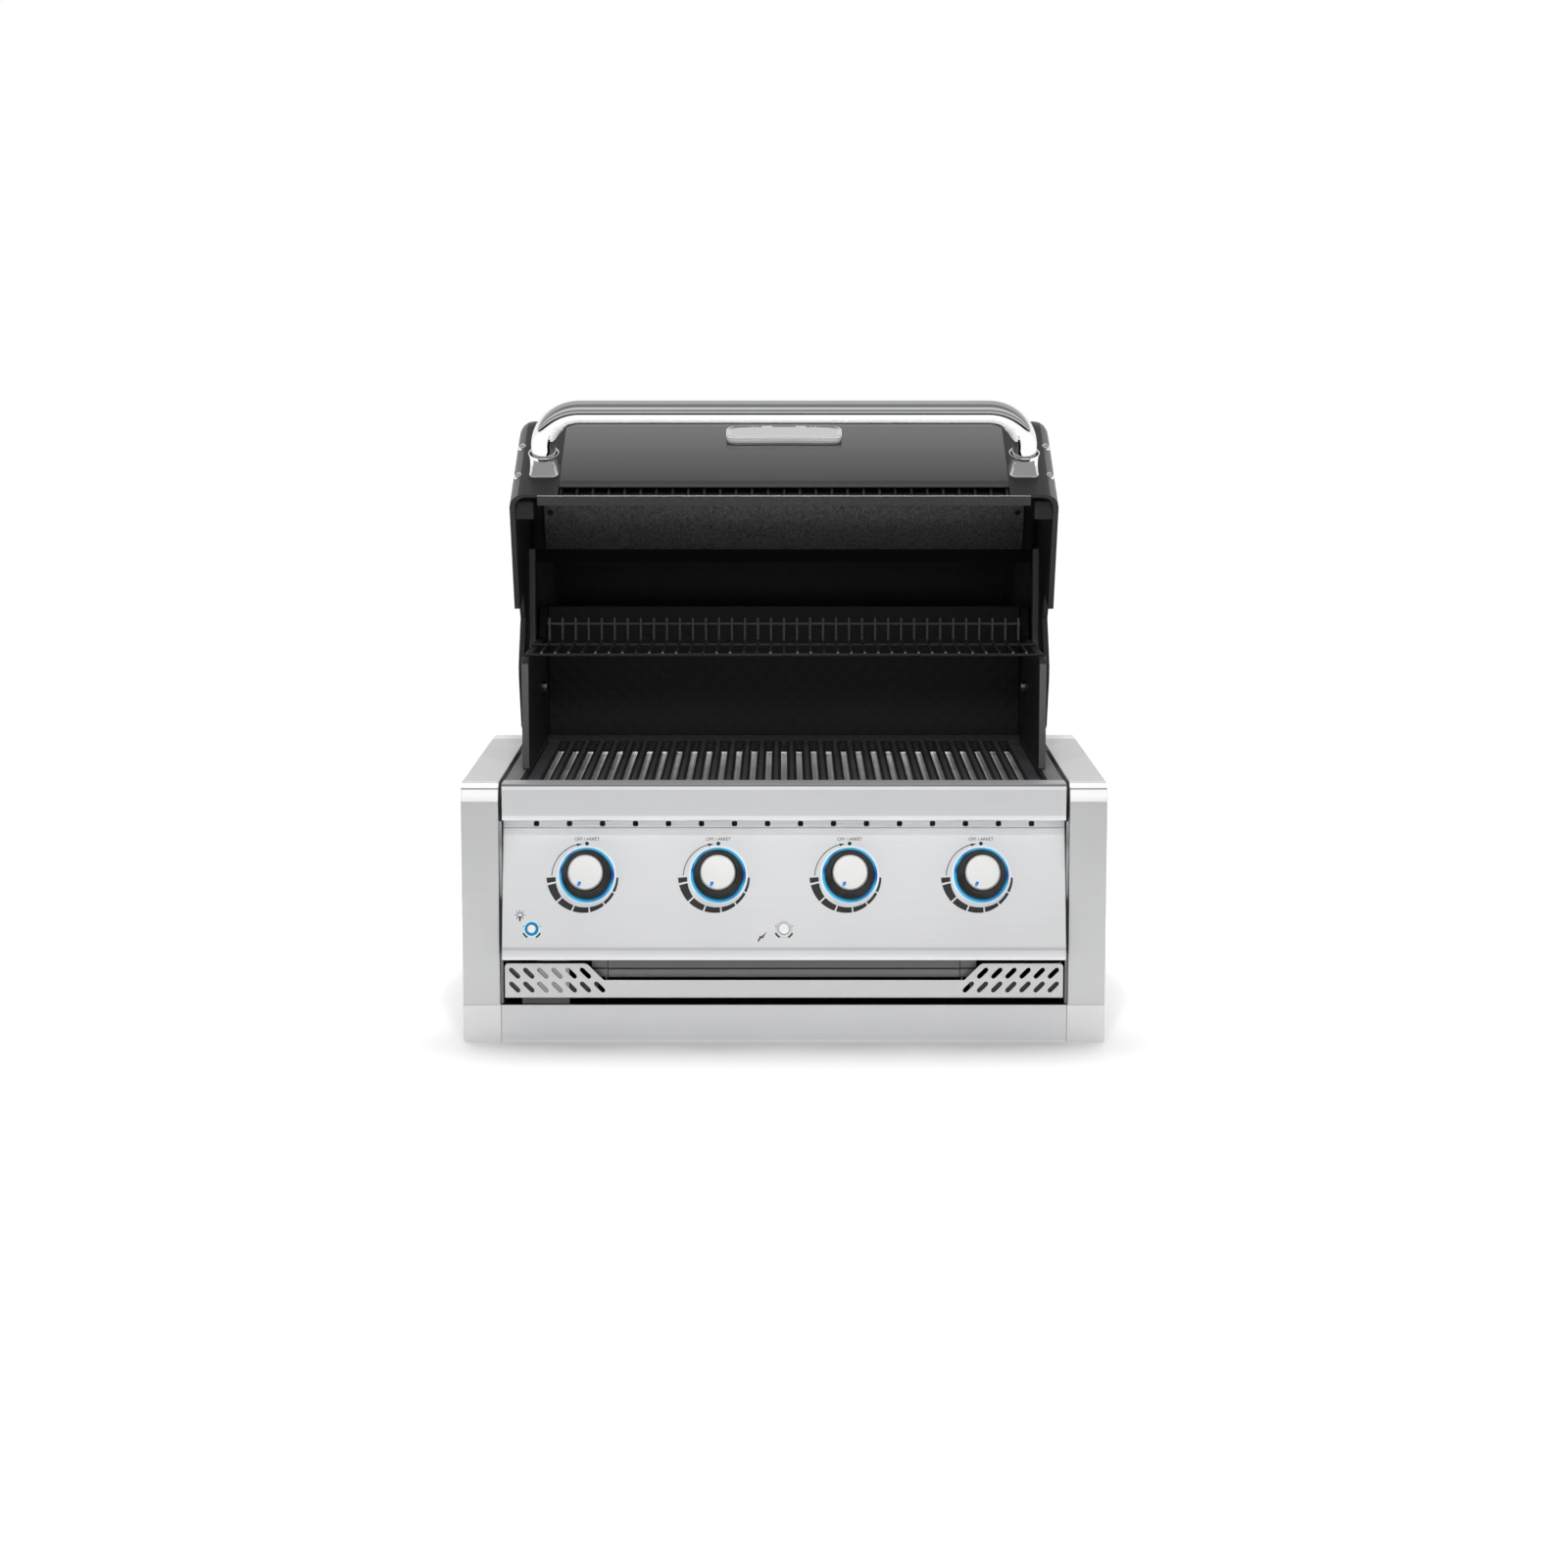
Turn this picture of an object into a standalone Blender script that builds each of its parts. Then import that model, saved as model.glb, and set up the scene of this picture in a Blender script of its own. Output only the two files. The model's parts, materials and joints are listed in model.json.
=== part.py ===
"""Built in gas grill with its hood open. Metres, +Z up, front towards -Y.

The origin is on the underside of the base pan, midway along the side trims.
Depths are measured back from the front faces of the trims.
"""
import bpy
import bmesh
from math import atan2, cos, pi, radians, sin
from mathutils import Vector

for old in list(bpy.data.objects):
    bpy.data.objects.remove(old, do_unlink=True)

# Overall sizes
overall_width = 0.794
front_height = 0.323
base_depth = 0.487
trim_width = 0.046
sheet_gauge = 0.0012
clearance = 0.0003
overrun = 0.010
drill_reach = 0.030

half_width = overall_width / 2
front = -base_depth / 2
trim_inner = half_width - trim_width

# Trims, foot caps and plinth
nose_radius = 0.022
foot_width = 0.047
foot_height = 0.047
plinth_ledge = 0.0355
pan_gap = 0.0005

# Front rail above the controls
side_gap = 0.0045
ledge_depth = 0.035
rail_drop = 0.046
rail_fold_radius = 0.0022
strip_recess = 0.022
strip_gap = 0.012
strip_flange = 0.012
strip_hole = 0.0068
strip_hole_count = 16
strip_span_share = 0.882
strip_hole_share = 0.45

# Control panel
panel_top_depth = 0.020
panel_crease_depth = -0.020
panel_lip = 0.014
panel_return = 0.014
tray_gap = 0.029

# Lower vent rail
rail_gap = 0.009
rail_low_height = 0.022
rail_high_height = 0.043
rail_end_gap = 0.0015
rail_end_width = 0.1221
rail_corner = 0.0045
slot_length = 0.0179
slot_width = 0.0058
slot_pitch = 0.0175
slot_inset = 0.012
slot_rows = ((0.31, 7), (0.715, 6))

# Cook box
box_side_ledge = 0.0145
box_front = 0.0365
box_rear = 0.505
box_wall = 0.005
pan_rear_gap = 0.0035
pan_rear_drop = 0.027
box_shelf = 0.005
flange_thickness = 0.004
flange_front = 0.0175
flange_rear = 0.425
grid_thickness = 0.0117
grid_drop = 0.0095
tent_drop = 0.061
slope_drop = 0.067
slope_foot_depth = 0.092
floor_under_burner = 0.026
floor_fall = 0.012
floor_rear_depth = 0.470
rear_slope_rise = 0.068
outlet_length = 0.120
outlet_width = 0.060

# Grids and heat tents
grid_split = 0.0075
bar_width = 0.0125
bar_count = 15
grid_side = 0.023
grid_frame = 0.014
grid_rib = 0.010
grid_rib_drop = 0.006
tent_rise = 0.0335
tent_ridge = 0.090
tent_hem = 0.004
tent_gap = 0.010

# Burners, gas train
burner_count = 4
burner_margin = 0.003
burner_radius = 0.012
burner_bore = 0.0108
burner_mouth_gap = 0.005
burner_bore_depth = 0.120
burner_rear_gap = 0.0426
tail_radius = 0.005
manifold_radius = 0.009
manifold_bend = 0.022
manifold_drop = 0.042
manifold_end = 0.016
inlet_offset_share = 0.905
valve_radius = 0.013
valve_top = 0.007
valve_length = 0.034
boss_radius = 0.006
spud_radius = 0.0035
spud_length = 0.014

# Knobs and buttons, all measured out from the face of the control panel
knob_height_share = 0.611
bezel_radius = 0.0345
bezel_thickness = 0.004
bezel_lip = 0.0015
bezel_neck = 0.016
stem_radius = 0.004
stem_travel = 0.003
stem_out = 0.025
stem_in = 0.029
knob_radius = 0.030
knob_neck_radius = 0.0245
knob_cap_radius = 0.022
knob_protrusion = 0.033
knob_skirt = 0.012
knob_rest_degrees = 150
pointer_width = 0.0025
pointer_length = 0.006
pointer_depth = 0.0008
button_height_share = 0.167
light_offset_share = 0.895
button_radius = 0.0065
button_bezel_radius = 0.0096
button_bezel_height = 0.0022
button_out = 0.0042
button_in = 0.012
button_flange = 0.0075
button_flange_thickness = 0.0015
button_neck = 0.0086
button_travel = 0.0020

# Side castings, rear wall and rack
casting_wall = 0.009
casting_front = 0.144
casting_height = 0.140
casting_corner = 0.012
casting_step = 0.470
casting_rear_height = 0.176
rack_front = 0.170
rack_depth = 0.142
rack_rear_inset = 0.0112
rack_wire = 0.0042
rack_rod = 0.0056
rack_wire_count = 37
rack_wire_share = 0.948
rack_fence = 0.033
fence_rod_drop = 0.008

# Hood, closed: depths from the trims' front, heights from their top
hood_side_gap = 0.003
hood_open_degrees = 65
pivot_depth = 0.378
pivot_rise = 0.0785
hood_front = 0.050
rim_rise = 0.005
panel_rise = 0.190
hood_curve = 0.070
hood_rear_radius = 0.186
hood_rear_degrees = 33
skin_gauge = 0.0025
skin_rim_gap = 0.0225
cap_width = 0.062
cap_round = 0.018
cap_plate = 0.007
cap_flange = 0.004
liner_inset = 0.012
liner_gauge = 0.0015
liner_side_gap = 0.029
rim_rib_count = 29
rim_rib_width = 0.003
notch_reach = 0.162
notch_rise = 0.081
notch_rear = 0.052
lobe_drop = 0.0645
lobe_front = 0.067
lobe_rear = 0.036

# Hood hinge frame, as it stands with the hood open
arm_plate = 0.0077
arm_lobe = 0.014
arm_width = 0.026
arm_lean = 0.022
arm_front_share = 0.8
arm_rear_share = 0.75
brace_top = 0.1825
brace_height = 0.018
brace_setback = 0.0005
hinge_pin_radius = 0.005
hinge_pin_head = 0.008
hinge_pin_head_length = 0.006
hinge_pin_seat = 0.005

# Handle and plate
handle_rise = 0.065
handle_radius = 0.0155
handle_wall = 0.002
handle_standoff = 0.0838
handle_bend = 0.048
handle_offset_share = 0.881
bracket_width = 0.038
bracket_length = 0.048
bracket_height = 0.027
bracket_corner = 0.0076
bracket_top_radius = 0.0198
bracket_floor = 0.006
plate_width = 0.150
plate_height = 0.040
plate_thickness = 0.011
plate_rise = 0.154
plate_corner = 0.008

# Grease tray and its cradle
tray_depth_front = 0.013
tray_length = 0.430
tray_height = 0.026
tray_half_width = 0.218
tray_wall = 0.0015
runner_lip = 0.012
runner_foot = 0.016
runner_gap = 0.003
runner_length = 0.440
cradle_bar_height = 0.030

# Steps in round shapes
round_steps = 24
small_steps = 16
inner_steps = 12
curve_steps = 6
corner_steps = 4
slot_steps = 3

finish_values = {
    "brushed_steel": ((0.56, 0.57, 0.58), 0.32, 1.0),
    "polished_steel": ((0.78, 0.79, 0.80), 0.10, 1.0),
    "foot_grey": ((0.66, 0.66, 0.66), 0.45, 0.0),
    "black_enamel": ((0.010, 0.010, 0.011), 0.08, 0.0),
    "black_cast": ((0.028, 0.028, 0.029), 0.55, 0.0),
    "black_sheet": ((0.016, 0.016, 0.016), 0.45, 0.0),
    "cast_iron": ((0.022, 0.022, 0.024), 0.42, 0.3),
    "grey_cast": ((0.16, 0.16, 0.165), 0.50, 0.6),
    "knob_black": ((0.014, 0.014, 0.015), 0.35, 0.0),
    "button_white": ((0.80, 0.81, 0.82), 0.25, 0.2),
    "light_blue": ((0.05, 0.42, 0.85), 0.30, 0.0),
    "brass": ((0.62, 0.44, 0.16), 0.30, 1.0),
}


def make_material(name, colour, roughness, metallic):
    material = bpy.data.materials.new(name)
    material.use_nodes = True
    shader = material.node_tree.nodes["Principled BSDF"]
    shader.inputs["Base Color"].default_value = (*colour, 1.0)
    shader.inputs["Roughness"].default_value = roughness
    shader.inputs["Metallic"].default_value = metallic
    return material


materials = {name: make_material(name, *values) for name, values in finish_values.items()}

# Where a drawing's two coordinates and its extrusion lie in space
draw_planes = {
    "yz": lambda a, b, c: Vector((c, a, b)),
    "xz": lambda a, b, c: Vector((a, c, b)),
    "xy": lambda a, b, c: Vector((a, b, c)),
}


def add_object(name, data, finish, parent):
    data.materials.append(materials[finish])
    part = bpy.data.objects.new(name, data)
    bpy.context.scene.collection.objects.link(part)
    part.parent = parent
    return part


def finish_mesh(name, bm, finish, parent=None, smooth=False):
    bmesh.ops.recalc_face_normals(bm, faces=bm.faces)
    mesh = bpy.data.meshes.new(name)
    bm.to_mesh(mesh)
    bm.free()
    if smooth:
        mesh.shade_smooth()
        mesh.set_sharp_from_angle(angle=radians(35))
    return add_object(name, mesh, finish, parent)


def prisms(name, pieces, plane, finish, parent=None, smooth=False):
    """Outlines drawn in a plane, each extruded over its own span along the third axis."""
    place = draw_planes[plane]
    bm = bmesh.new()
    for outline, (low, high) in pieces:
        base = bm.faces.new([bm.verts.new(place(a, b, low)) for a, b in outline])
        grown = bmesh.ops.extrude_face_region(bm, geom=[base])
        moved = [item for item in grown["geom"] if isinstance(item, bmesh.types.BMVert)]
        bmesh.ops.translate(bm, verts=moved, vec=place(0, 0, high - low))
    return finish_mesh(name, bm, finish, parent, smooth)


def prism(name, outline, span, plane, finish, parent=None, smooth=False):
    return prisms(name, [(outline, span)], plane, finish, parent, smooth)


def rectangle(low_a, high_a, low_b, high_b):
    return [(low_a, low_b), (high_a, low_b), (high_a, high_b), (low_a, high_b)]


def box(name, x_span, y_span, z_span, finish, parent=None):
    return prism(name, rectangle(*x_span, *y_span), z_span, "xy", finish, parent)


def arc(centre, radius, start, end, steps):
    """Points on an arc, angles in degrees, both ends included."""
    turn = end - start
    angles = [radians(start + turn * step / steps) for step in range(steps + 1)]
    return [(centre[0] + radius * cos(angle), centre[1] + radius * sin(angle)) for angle in angles]


def rounded_rectangle(half_a, half_b, corner, middle_b):
    outline = []
    for sign_a, sign_b, start in ((1, 1, 0), (-1, 1, 90), (-1, -1, 180), (1, -1, 270)):
        centre = (sign_a * (half_a - corner), middle_b + sign_b * (half_b - corner))
        outline += arc(centre, corner, start, start + 90, corner_steps)
    return outline


def offset_path(path, distance):
    """The path moved to its left by a distance, with mitred corners."""
    points = [Vector(point) for point in path]
    normals = []
    for first, second in zip(points, points[1:]):
        run = (second - first).normalized()
        normals.append(Vector((-run.y, run.x)))
    before = [normals[0]] + normals
    after = normals + [normals[-1]]
    shifted = []
    for point, one, two in zip(points, before, after):
        shifted.append(tuple(point + (one + two) * distance / (1 + one.dot(two))))
    return shifted


def folded_sheet(name, path, gauge, span, plane, finish, parent=None, smooth=False):
    """A sheet of even gauge laid to the left of a path and extruded."""
    outline = list(path) + offset_path(path, gauge)[::-1]
    return prism(name, outline, span, plane, finish, parent, smooth)


def lathe(name, profile, finish, parent=None, location=(0, 0, 0), steps=round_steps):
    """A profile of radius and height points spun about the vertical axis."""
    bm = bmesh.new()
    verts = [bm.verts.new((radius, 0, height)) for radius, height in profile]
    edges = [bm.edges.new(pair) for pair in zip(verts, verts[1:])]
    if profile[0][0] > 0:
        edges.append(bm.edges.new((verts[-1], verts[0])))
    bmesh.ops.spin(bm, geom=verts + edges, cent=(0, 0, 0), axis=(0, 0, 1),
                   angle=2 * pi, steps=steps, use_merge=True)
    bmesh.ops.remove_doubles(bm, verts=bm.verts, dist=clearance / 100)
    part = finish_mesh(name, bm, finish, parent, smooth=True)
    part.location = location
    return part


def loft(name, rings, finish, parent=None, smooth=False):
    """Closed rings of equally many points joined in turn, with flat end faces."""
    bm = bmesh.new()
    loops = []
    for ring in rings:
        verts = [bm.verts.new(point) for point in ring]
        loops.append([bm.edges.new(pair) for pair in zip(verts, verts[1:] + verts[:1])])
    for first, second in zip(loops, loops[1:]):
        bmesh.ops.bridge_loops(bm, edges=first + second)
    for loop in (loops[0], loops[-1]):
        bmesh.ops.edgeloop_fill(bm, edges=loop)
    return finish_mesh(name, bm, finish, parent, smooth)


def tube(name, points, radius, finish, parent=None, resolution=3):
    """A round bar along a path, with flat ends."""
    curve = bpy.data.curves.new(name, "CURVE")
    curve.dimensions = "3D"
    curve.bevel_depth = radius
    curve.bevel_resolution = resolution
    curve.use_fill_caps = True
    spline = curve.splines.new("POLY")
    spline.points.add(len(points) - 1)
    for knot, point in zip(spline.points, points):
        knot.co = (*point, 1.0)
    spline.use_smooth = True
    return add_object(name, curve, finish, parent)


def level_bar(name, path, height, radius, finish, parent=None):
    """A round bar along a path in a level plane, as a mesh that can be bored."""
    step = 360 / small_steps
    rings = []
    for number, (x, y) in enumerate(path):
        before = path[max(number - 1, 0)]
        after = path[min(number + 1, len(path) - 1)]
        heading = atan2(after[1] - before[1], after[0] - before[0])
        rings.append([(x + a * sin(heading), y - a * cos(heading), height + b)
                      for a, b in arc((0, 0), radius, 0, 360 - step, small_steps - 1)])
    return loft(name, rings, finish, parent, smooth=True)


def boolean(target, tool, operation):
    """Cuts a tool out of a target or joins it on, and hides the tool."""
    tool.hide_render = True
    tool.display_type = "WIRE"
    modifier = target.modifiers.new(tool.name, "BOOLEAN")
    modifier.operation = operation
    modifier.object = tool


def cut(target, tool):
    boolean(target, tool, "DIFFERENCE")


def join(target, tool):
    boolean(target, tool, "UNION")


def empty(name, location, turn=0.0, parent=None):
    """A reference frame turned about X."""
    frame = bpy.data.objects.new(name, None)
    bpy.context.scene.collection.objects.link(frame)
    frame.location = location
    frame.rotation_euler = (turn, 0, 0)
    frame.parent = parent
    return frame


def spread(reach, count):
    """Evenly spaced places from minus reach to reach."""
    return [reach * (2 * number / (count - 1) - 1) for number in range(count)]


def sides():
    return (("left", -1), ("right", 1))


def span_of(side, near, far):
    """An x span between two distances from the middle, on one side."""
    return tuple(sorted((side * near, side * far)))


# Levels shared by several pieces
rail_bottom = front_height - rail_drop
panel_top = rail_bottom - strip_gap
vent_bottom = foot_height + rail_gap
panel_bottom = vent_bottom + rail_low_height + tray_gap
panel_crease = panel_bottom + panel_lip
fascia_half = trim_inner - side_gap
box_half = fascia_half - box_side_ledge
box_top = front_height - sheet_gauge - clearance
pan_half = fascia_half - pan_gap
pan_front = plinth_ledge + clearance
pan_rear = box_rear + pan_rear_gap


def make_side_trims():
    """Box sections open below and behind, with a round nose, on their foot caps."""
    bottom = foot_height + clearance
    nose = arc((front + nose_radius, front_height - nose_radius), nose_radius, 180, 90, curve_steps)
    outer = [(front, bottom)] + nose + [(front + base_depth, front_height), (front + base_depth, bottom)]
    gauge = sheet_gauge
    inner_nose = arc((front + nose_radius, front_height - nose_radius), nose_radius - gauge,
                     180, 90, curve_steps)
    open_rear = front + base_depth + overrun
    hollow = [(front + gauge, bottom - overrun)] + inner_nose
    hollow += [(open_rear, front_height - gauge), (open_rear, bottom - overrun)]
    for name, side in sides():
        trim = prism("side_trim_" + name, outer, span_of(side, trim_inner, half_width), "yz",
                     "brushed_steel", smooth=True)
        inside = span_of(side, trim_inner + gauge, half_width - gauge)
        cut(trim, prism("trim_hollow_" + name, hollow, inside, "yz", "brushed_steel"))


def make_foot_caps():
    gauge = 2 * sheet_gauge
    for name, side in sides():
        inner = half_width - foot_width
        cap = box("foot_cap_" + name, span_of(side, inner, half_width),
                  (front, front + base_depth), (0, foot_height), "foot_grey")
        cut(cap, box("foot_hollow_" + name, span_of(side, inner + gauge, half_width - gauge),
                     (front + gauge, front + base_depth - gauge),
                     (-overrun, foot_height - gauge), "foot_grey"))


def make_plinth():
    half = half_width - foot_width - clearance
    path = [(front + plinth_ledge, foot_height), (front, foot_height), (front, 0)]
    folded_sheet("plinth_panel", path, sheet_gauge, (-half, half), "yz", "brushed_steel")


def make_base_pan(inlet):
    """A tray with low front, side walls that carry the cook box, and a rear wall."""
    outer = (front + pan_front, front + pan_rear)
    pan = box("base_pan", (-pan_half, pan_half), outer,
              (0, box_top - flange_thickness - clearance), "brushed_steel")
    gauge = sheet_gauge
    cut(pan, box("pan_hollow", (gauge - pan_half, pan_half - gauge),
                 (outer[0] - overrun, outer[1] - gauge), (gauge, front_height), "brushed_steel"))
    # The rear upper corner is low, where the open hood comes down
    cut(pan, box("pan_rear_notch", (-half_width, half_width),
                 (front + flange_rear, outer[1] + overrun),
                 (front_height - pan_rear_drop, front_height + overrun), "brushed_steel"))
    cut(pan, drilled("pan_inlet_hole", inlet, manifold_radius, Vector((0, 1, 0))))


def drilled(name, centre, radius, along, half_length=drill_reach):
    """A round cutter with running clearance through a centre point."""
    tool = lathe(name, [(0, -half_length), (radius + clearance, -half_length),
                        (radius + clearance, half_length), (0, half_length)], "brushed_steel",
                 steps=small_steps)
    tool.location = centre
    tool.rotation_euler = along.to_track_quat("Z", "Y").to_euler()
    return tool


def make_front_fascia():
    """One folded sheet: ledge, rounded front face and return flange."""
    fold = rail_fold_radius
    top = arc((front + fold, front_height - fold), fold, 90, 180, corner_steps)
    low = arc((front + fold, rail_bottom + fold), fold, 180, 270, corner_steps)
    path = [(front + ledge_depth, front_height)] + top + low
    path.append((front + strip_recess + sheet_gauge, rail_bottom))
    folded_sheet("front_fascia", path, sheet_gauge, (-fascia_half, fascia_half), "yz",
                 "brushed_steel", smooth=True)


def make_vent_strip():
    """A perforated strip between the fascia and the control panel."""
    face = front + strip_recess
    top = rail_bottom - clearance
    bottom = panel_top + clearance
    path = [(face + strip_flange, top), (face, top), (face, bottom)]
    strip = folded_sheet("vent_strip", path, sheet_gauge, (-fascia_half, fascia_half), "yz",
                         "brushed_steel")
    reach = fascia_half * strip_span_share
    middle = bottom + (top - bottom) * strip_hole_share
    half = strip_hole / 2
    chamfer = strip_hole / 5
    span = (face - overrun / 4, face + overrun / 4)
    holes = []
    for x in spread(reach, strip_hole_count):
        holes.append(([(x - half, middle - half + chamfer), (x - half + chamfer, middle - half),
                      (x + half - chamfer, middle - half), (x + half, middle - half + chamfer),
                      (x + half, middle + half - chamfer), (x + half - chamfer, middle + half),
                      (x - half + chamfer, middle + half), (x - half, middle + half - chamfer)], span))
    cut(strip, prisms("strip_holes", holes, "xz", "brushed_steel"))


def make_control_panel(places, bores):
    """The sloping folded panel, with a round hole for each bezel's neck."""
    path = [(front + panel_top_depth + panel_return, panel_top),
            (front + panel_top_depth, panel_top),
            (front + panel_crease_depth, panel_crease),
            (front + panel_crease_depth, panel_bottom),
            (front + panel_crease_depth + panel_return, panel_bottom)]
    panel = folded_sheet("control_panel", path, sheet_gauge, (-fascia_half, fascia_half), "yz",
                         "brushed_steel")
    for number, (place, bore) in enumerate(zip(places, bores)):
        tool = lathe("panel_hole_%d" % number,
                     [(0, -overrun), (bore + clearance, -overrun), (bore + clearance, overrun),
                      (0, overrun)], "brushed_steel", panel_face, place, small_steps)
        cut(panel, tool)


def slot_outline(x, z, lean):
    """A round ended slot, its upper end leaning to the left for 1 and to the right for -1."""
    reach = (slot_length - slot_width) / 2 * sin(radians(45))
    radius = slot_width / 2
    start = 45 * lean
    upper = arc((x - lean * reach, z + reach), radius, start, start + 180, slot_steps)
    lower = arc((x + lean * reach, z - reach), radius, start + 180, start + 360, slot_steps)
    return upper + lower


def make_lower_vent_rail():
    """A slotted rail with raised ends, whose folded ends reach back to the base pan."""
    half = fascia_half - rail_end_gap
    low = vent_bottom + rail_low_height
    high = vent_bottom + rail_high_height
    low_half = half - rail_end_width
    high_half = low_half + (high - low)
    right = [(half, vent_bottom)]
    right += arc((half - rail_corner, high - rail_corner), rail_corner, 0, 90, corner_steps)
    right += [(high_half + rail_corner / 2, high), (high_half - rail_corner / 3, high - rail_corner / 3),
              (low_half, low)]
    outline = right + [(-x, z) for x, z in reversed(right)]
    rail = prism("lower_vent_rail", outline, (front, front + sheet_gauge), "xz", "brushed_steel")
    for name, side in sides():
        join(rail, box("rail_end_" + name, span_of(side, half - 1.5 * sheet_gauge, half - sheet_gauge / 2),
                       (front + sheet_gauge / 2, front + pan_front - clearance),
                       (vent_bottom + sheet_gauge, high - rail_corner), "brushed_steel"))
    span = (front - overrun, front + sheet_gauge + overrun / 2)
    slots = []
    for height_share, count in slot_rows:
        z = vent_bottom + rail_high_height * height_share
        for number in range(count):
            x = half - slot_inset - number * slot_pitch
            slots.append((slot_outline(-x, z, 1), span))
            slots.append((slot_outline(x, z, -1), span))
    cut(rail, prisms("rail_slots", slots, "xz", "brushed_steel"))


def make_firebox(burner_places, tail_places, burner_z):
    """The cast cook box: flange, two shelves, sloping front and a floor that falls to its outlet."""
    floor = burner_z - floor_under_burner
    slope_top = front_height - slope_drop
    middle = (slope_foot_depth + floor_rear_depth) / 2
    rear_top = floor + rear_slope_rise
    outer = [(box_front, box_top), (box_front, slope_top), (slope_foot_depth, floor),
             (middle, floor - floor_fall), (floor_rear_depth, floor), (box_rear, rear_top),
             (box_rear, box_top)]
    body = prism("firebox", [(front + depth, z) for depth, z in outer], (-box_half, box_half), "yz",
                 "grey_cast")
    flange_base = box_top - flange_thickness
    join(body, box("firebox_flange", (-pan_half, pan_half), (front + flange_front, front + flange_rear),
                   (flange_base, box_top), "grey_cast"))
    upper = box_wall
    shelf = box_wall + box_shelf
    deep = shelf + box_shelf
    shelf_z = front_height - grid_drop - grid_thickness - clearance
    tent_z = front_height - tent_drop
    cut(body, box("grid_pocket", (upper - box_half, box_half - upper),
                  (front + box_front + upper, front + box_rear - upper),
                  (shelf_z, box_top + overrun), "grey_cast"))
    cut(body, box("tent_pocket", (shelf - box_half, box_half - shelf),
                  (front + box_front + shelf, front + box_rear - shelf),
                  (tent_z, shelf_z + overrun), "grey_cast"))
    inner = [(box_front + deep, tent_z + overrun), (box_front + deep, slope_top - box_wall),
             (slope_foot_depth + box_wall, floor + box_wall), (middle, floor - floor_fall + box_wall),
             (floor_rear_depth - box_wall, floor + box_wall), (box_rear - deep, rear_top + box_wall),
             (box_rear - deep, tent_z + overrun)]
    cut(body, prism("burner_pocket", [(front + depth, z) for depth, z in inner],
                    (deep - box_half, box_half - deep), "yz", "grey_cast"))
    cut(body, box("grease_outlet", (-outlet_length / 2, outlet_length / 2),
                  (front + middle - outlet_width / 2, front + middle + outlet_width / 2),
                  (floor - floor_fall - overrun, floor + overrun), "grey_cast"))
    for number, (mouth, tail) in enumerate(zip(burner_places, tail_places)):
        cut(body, drilled("burner_hole_%d" % number, mouth, burner_radius, Vector((0, 1, 0))))
        cut(body, drilled("tail_hole_%d" % number, tail, tail_radius, Vector((0, 1, 0))))
    return tent_z


def make_side_castings():
    """Upright end walls on the cook box, drilled for the hinge pins."""
    base = box_top + clearance
    top = front_height + casting_height
    rear_top = front_height + casting_rear_height
    rear = front + box_rear
    ramp = casting_rear_height - casting_height
    outline = [(front + casting_front, base)]
    outline += arc((front + casting_front + casting_corner, top - casting_corner), casting_corner,
                   180, 90, corner_steps)
    outline += [(front + casting_step - ramp, top), (front + casting_step, rear_top), (rear, rear_top),
                (rear, base)]
    for name, side in sides():
        wall = prism("side_casting_" + name, outline,
                     span_of(side, box_half - casting_wall, box_half), "yz", "black_cast", smooth=True)
        cut(wall, drilled("casting_hole_" + name, (side * box_half, pivot[1], pivot[2]),
                          hinge_pin_radius, Vector((1, 0, 0))))


def make_rear_wall():
    half = box_half - casting_wall - clearance
    rear = front + box_rear
    box("rear_wall", (-half, half), (rear - box_wall + clearance, rear),
        (box_top + clearance, front_height + casting_rear_height), "black_sheet")


def make_grids():
    """Two cast grids of bars along the depth, joined by a frame and a low middle rib."""
    outer = box_half - box_wall - clearance
    low = front + box_front + box_wall + clearance
    high = front + box_rear - box_wall - clearance
    top = front_height - grid_drop
    middle = (low + high) / 2
    for name, side in sides():
        grid = box("cooking_grid_" + name, span_of(side, grid_split / 2, outer), (low, high),
                   (top - grid_thickness, top), "cast_iron")
        slot = (outer - grid_split / 2 - grid_side) / bar_count - bar_width
        span = (top - grid_thickness - overrun, top + overrun)
        slots = []
        channels = []
        for number in range(bar_count):
            start = grid_split / 2 + bar_width + number * (bar_width + slot)
            x, x_end = span_of(side, start, start + slot)
            slots.append((rectangle(x, x_end, low + grid_frame, middle - grid_rib / 2), span))
            slots.append((rectangle(x, x_end, middle + grid_rib / 2, high - grid_frame), span))
            channels.append((rectangle(x, x_end, middle - grid_rib / 2 - overrun,
                                       middle + grid_rib / 2 + overrun),
                             (top - grid_rib_drop, top + overrun)))
        cut(grid, prisms("grid_slots_" + name, slots, "xy", "cast_iron"))
        cut(grid, prisms("grid_channels_" + name, channels, "xy", "cast_iron"))


def make_heat_tents(tent_z):
    """Folded steel roofs over the burners, on the lower shelves."""
    shelf = box_wall + box_shelf + clearance
    span = (front + box_front + shelf, front + box_rear - shelf)
    half = (burner_pitch - tent_gap) / 2
    low = tent_z + clearance
    for number, x in enumerate(burner_xs):
        path = [(x - half, low), (x - half, low + tent_hem), (x - tent_ridge / 2, low + tent_rise),
                (x + tent_ridge / 2, low + tent_rise), (x + half, low + tent_hem), (x + half, low)]
        outline = offset_path(path, -sheet_gauge)
        prism("heat_tent_%d" % (number + 1), list(path) + outline[::-1], span, "xz", "polished_steel")


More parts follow.
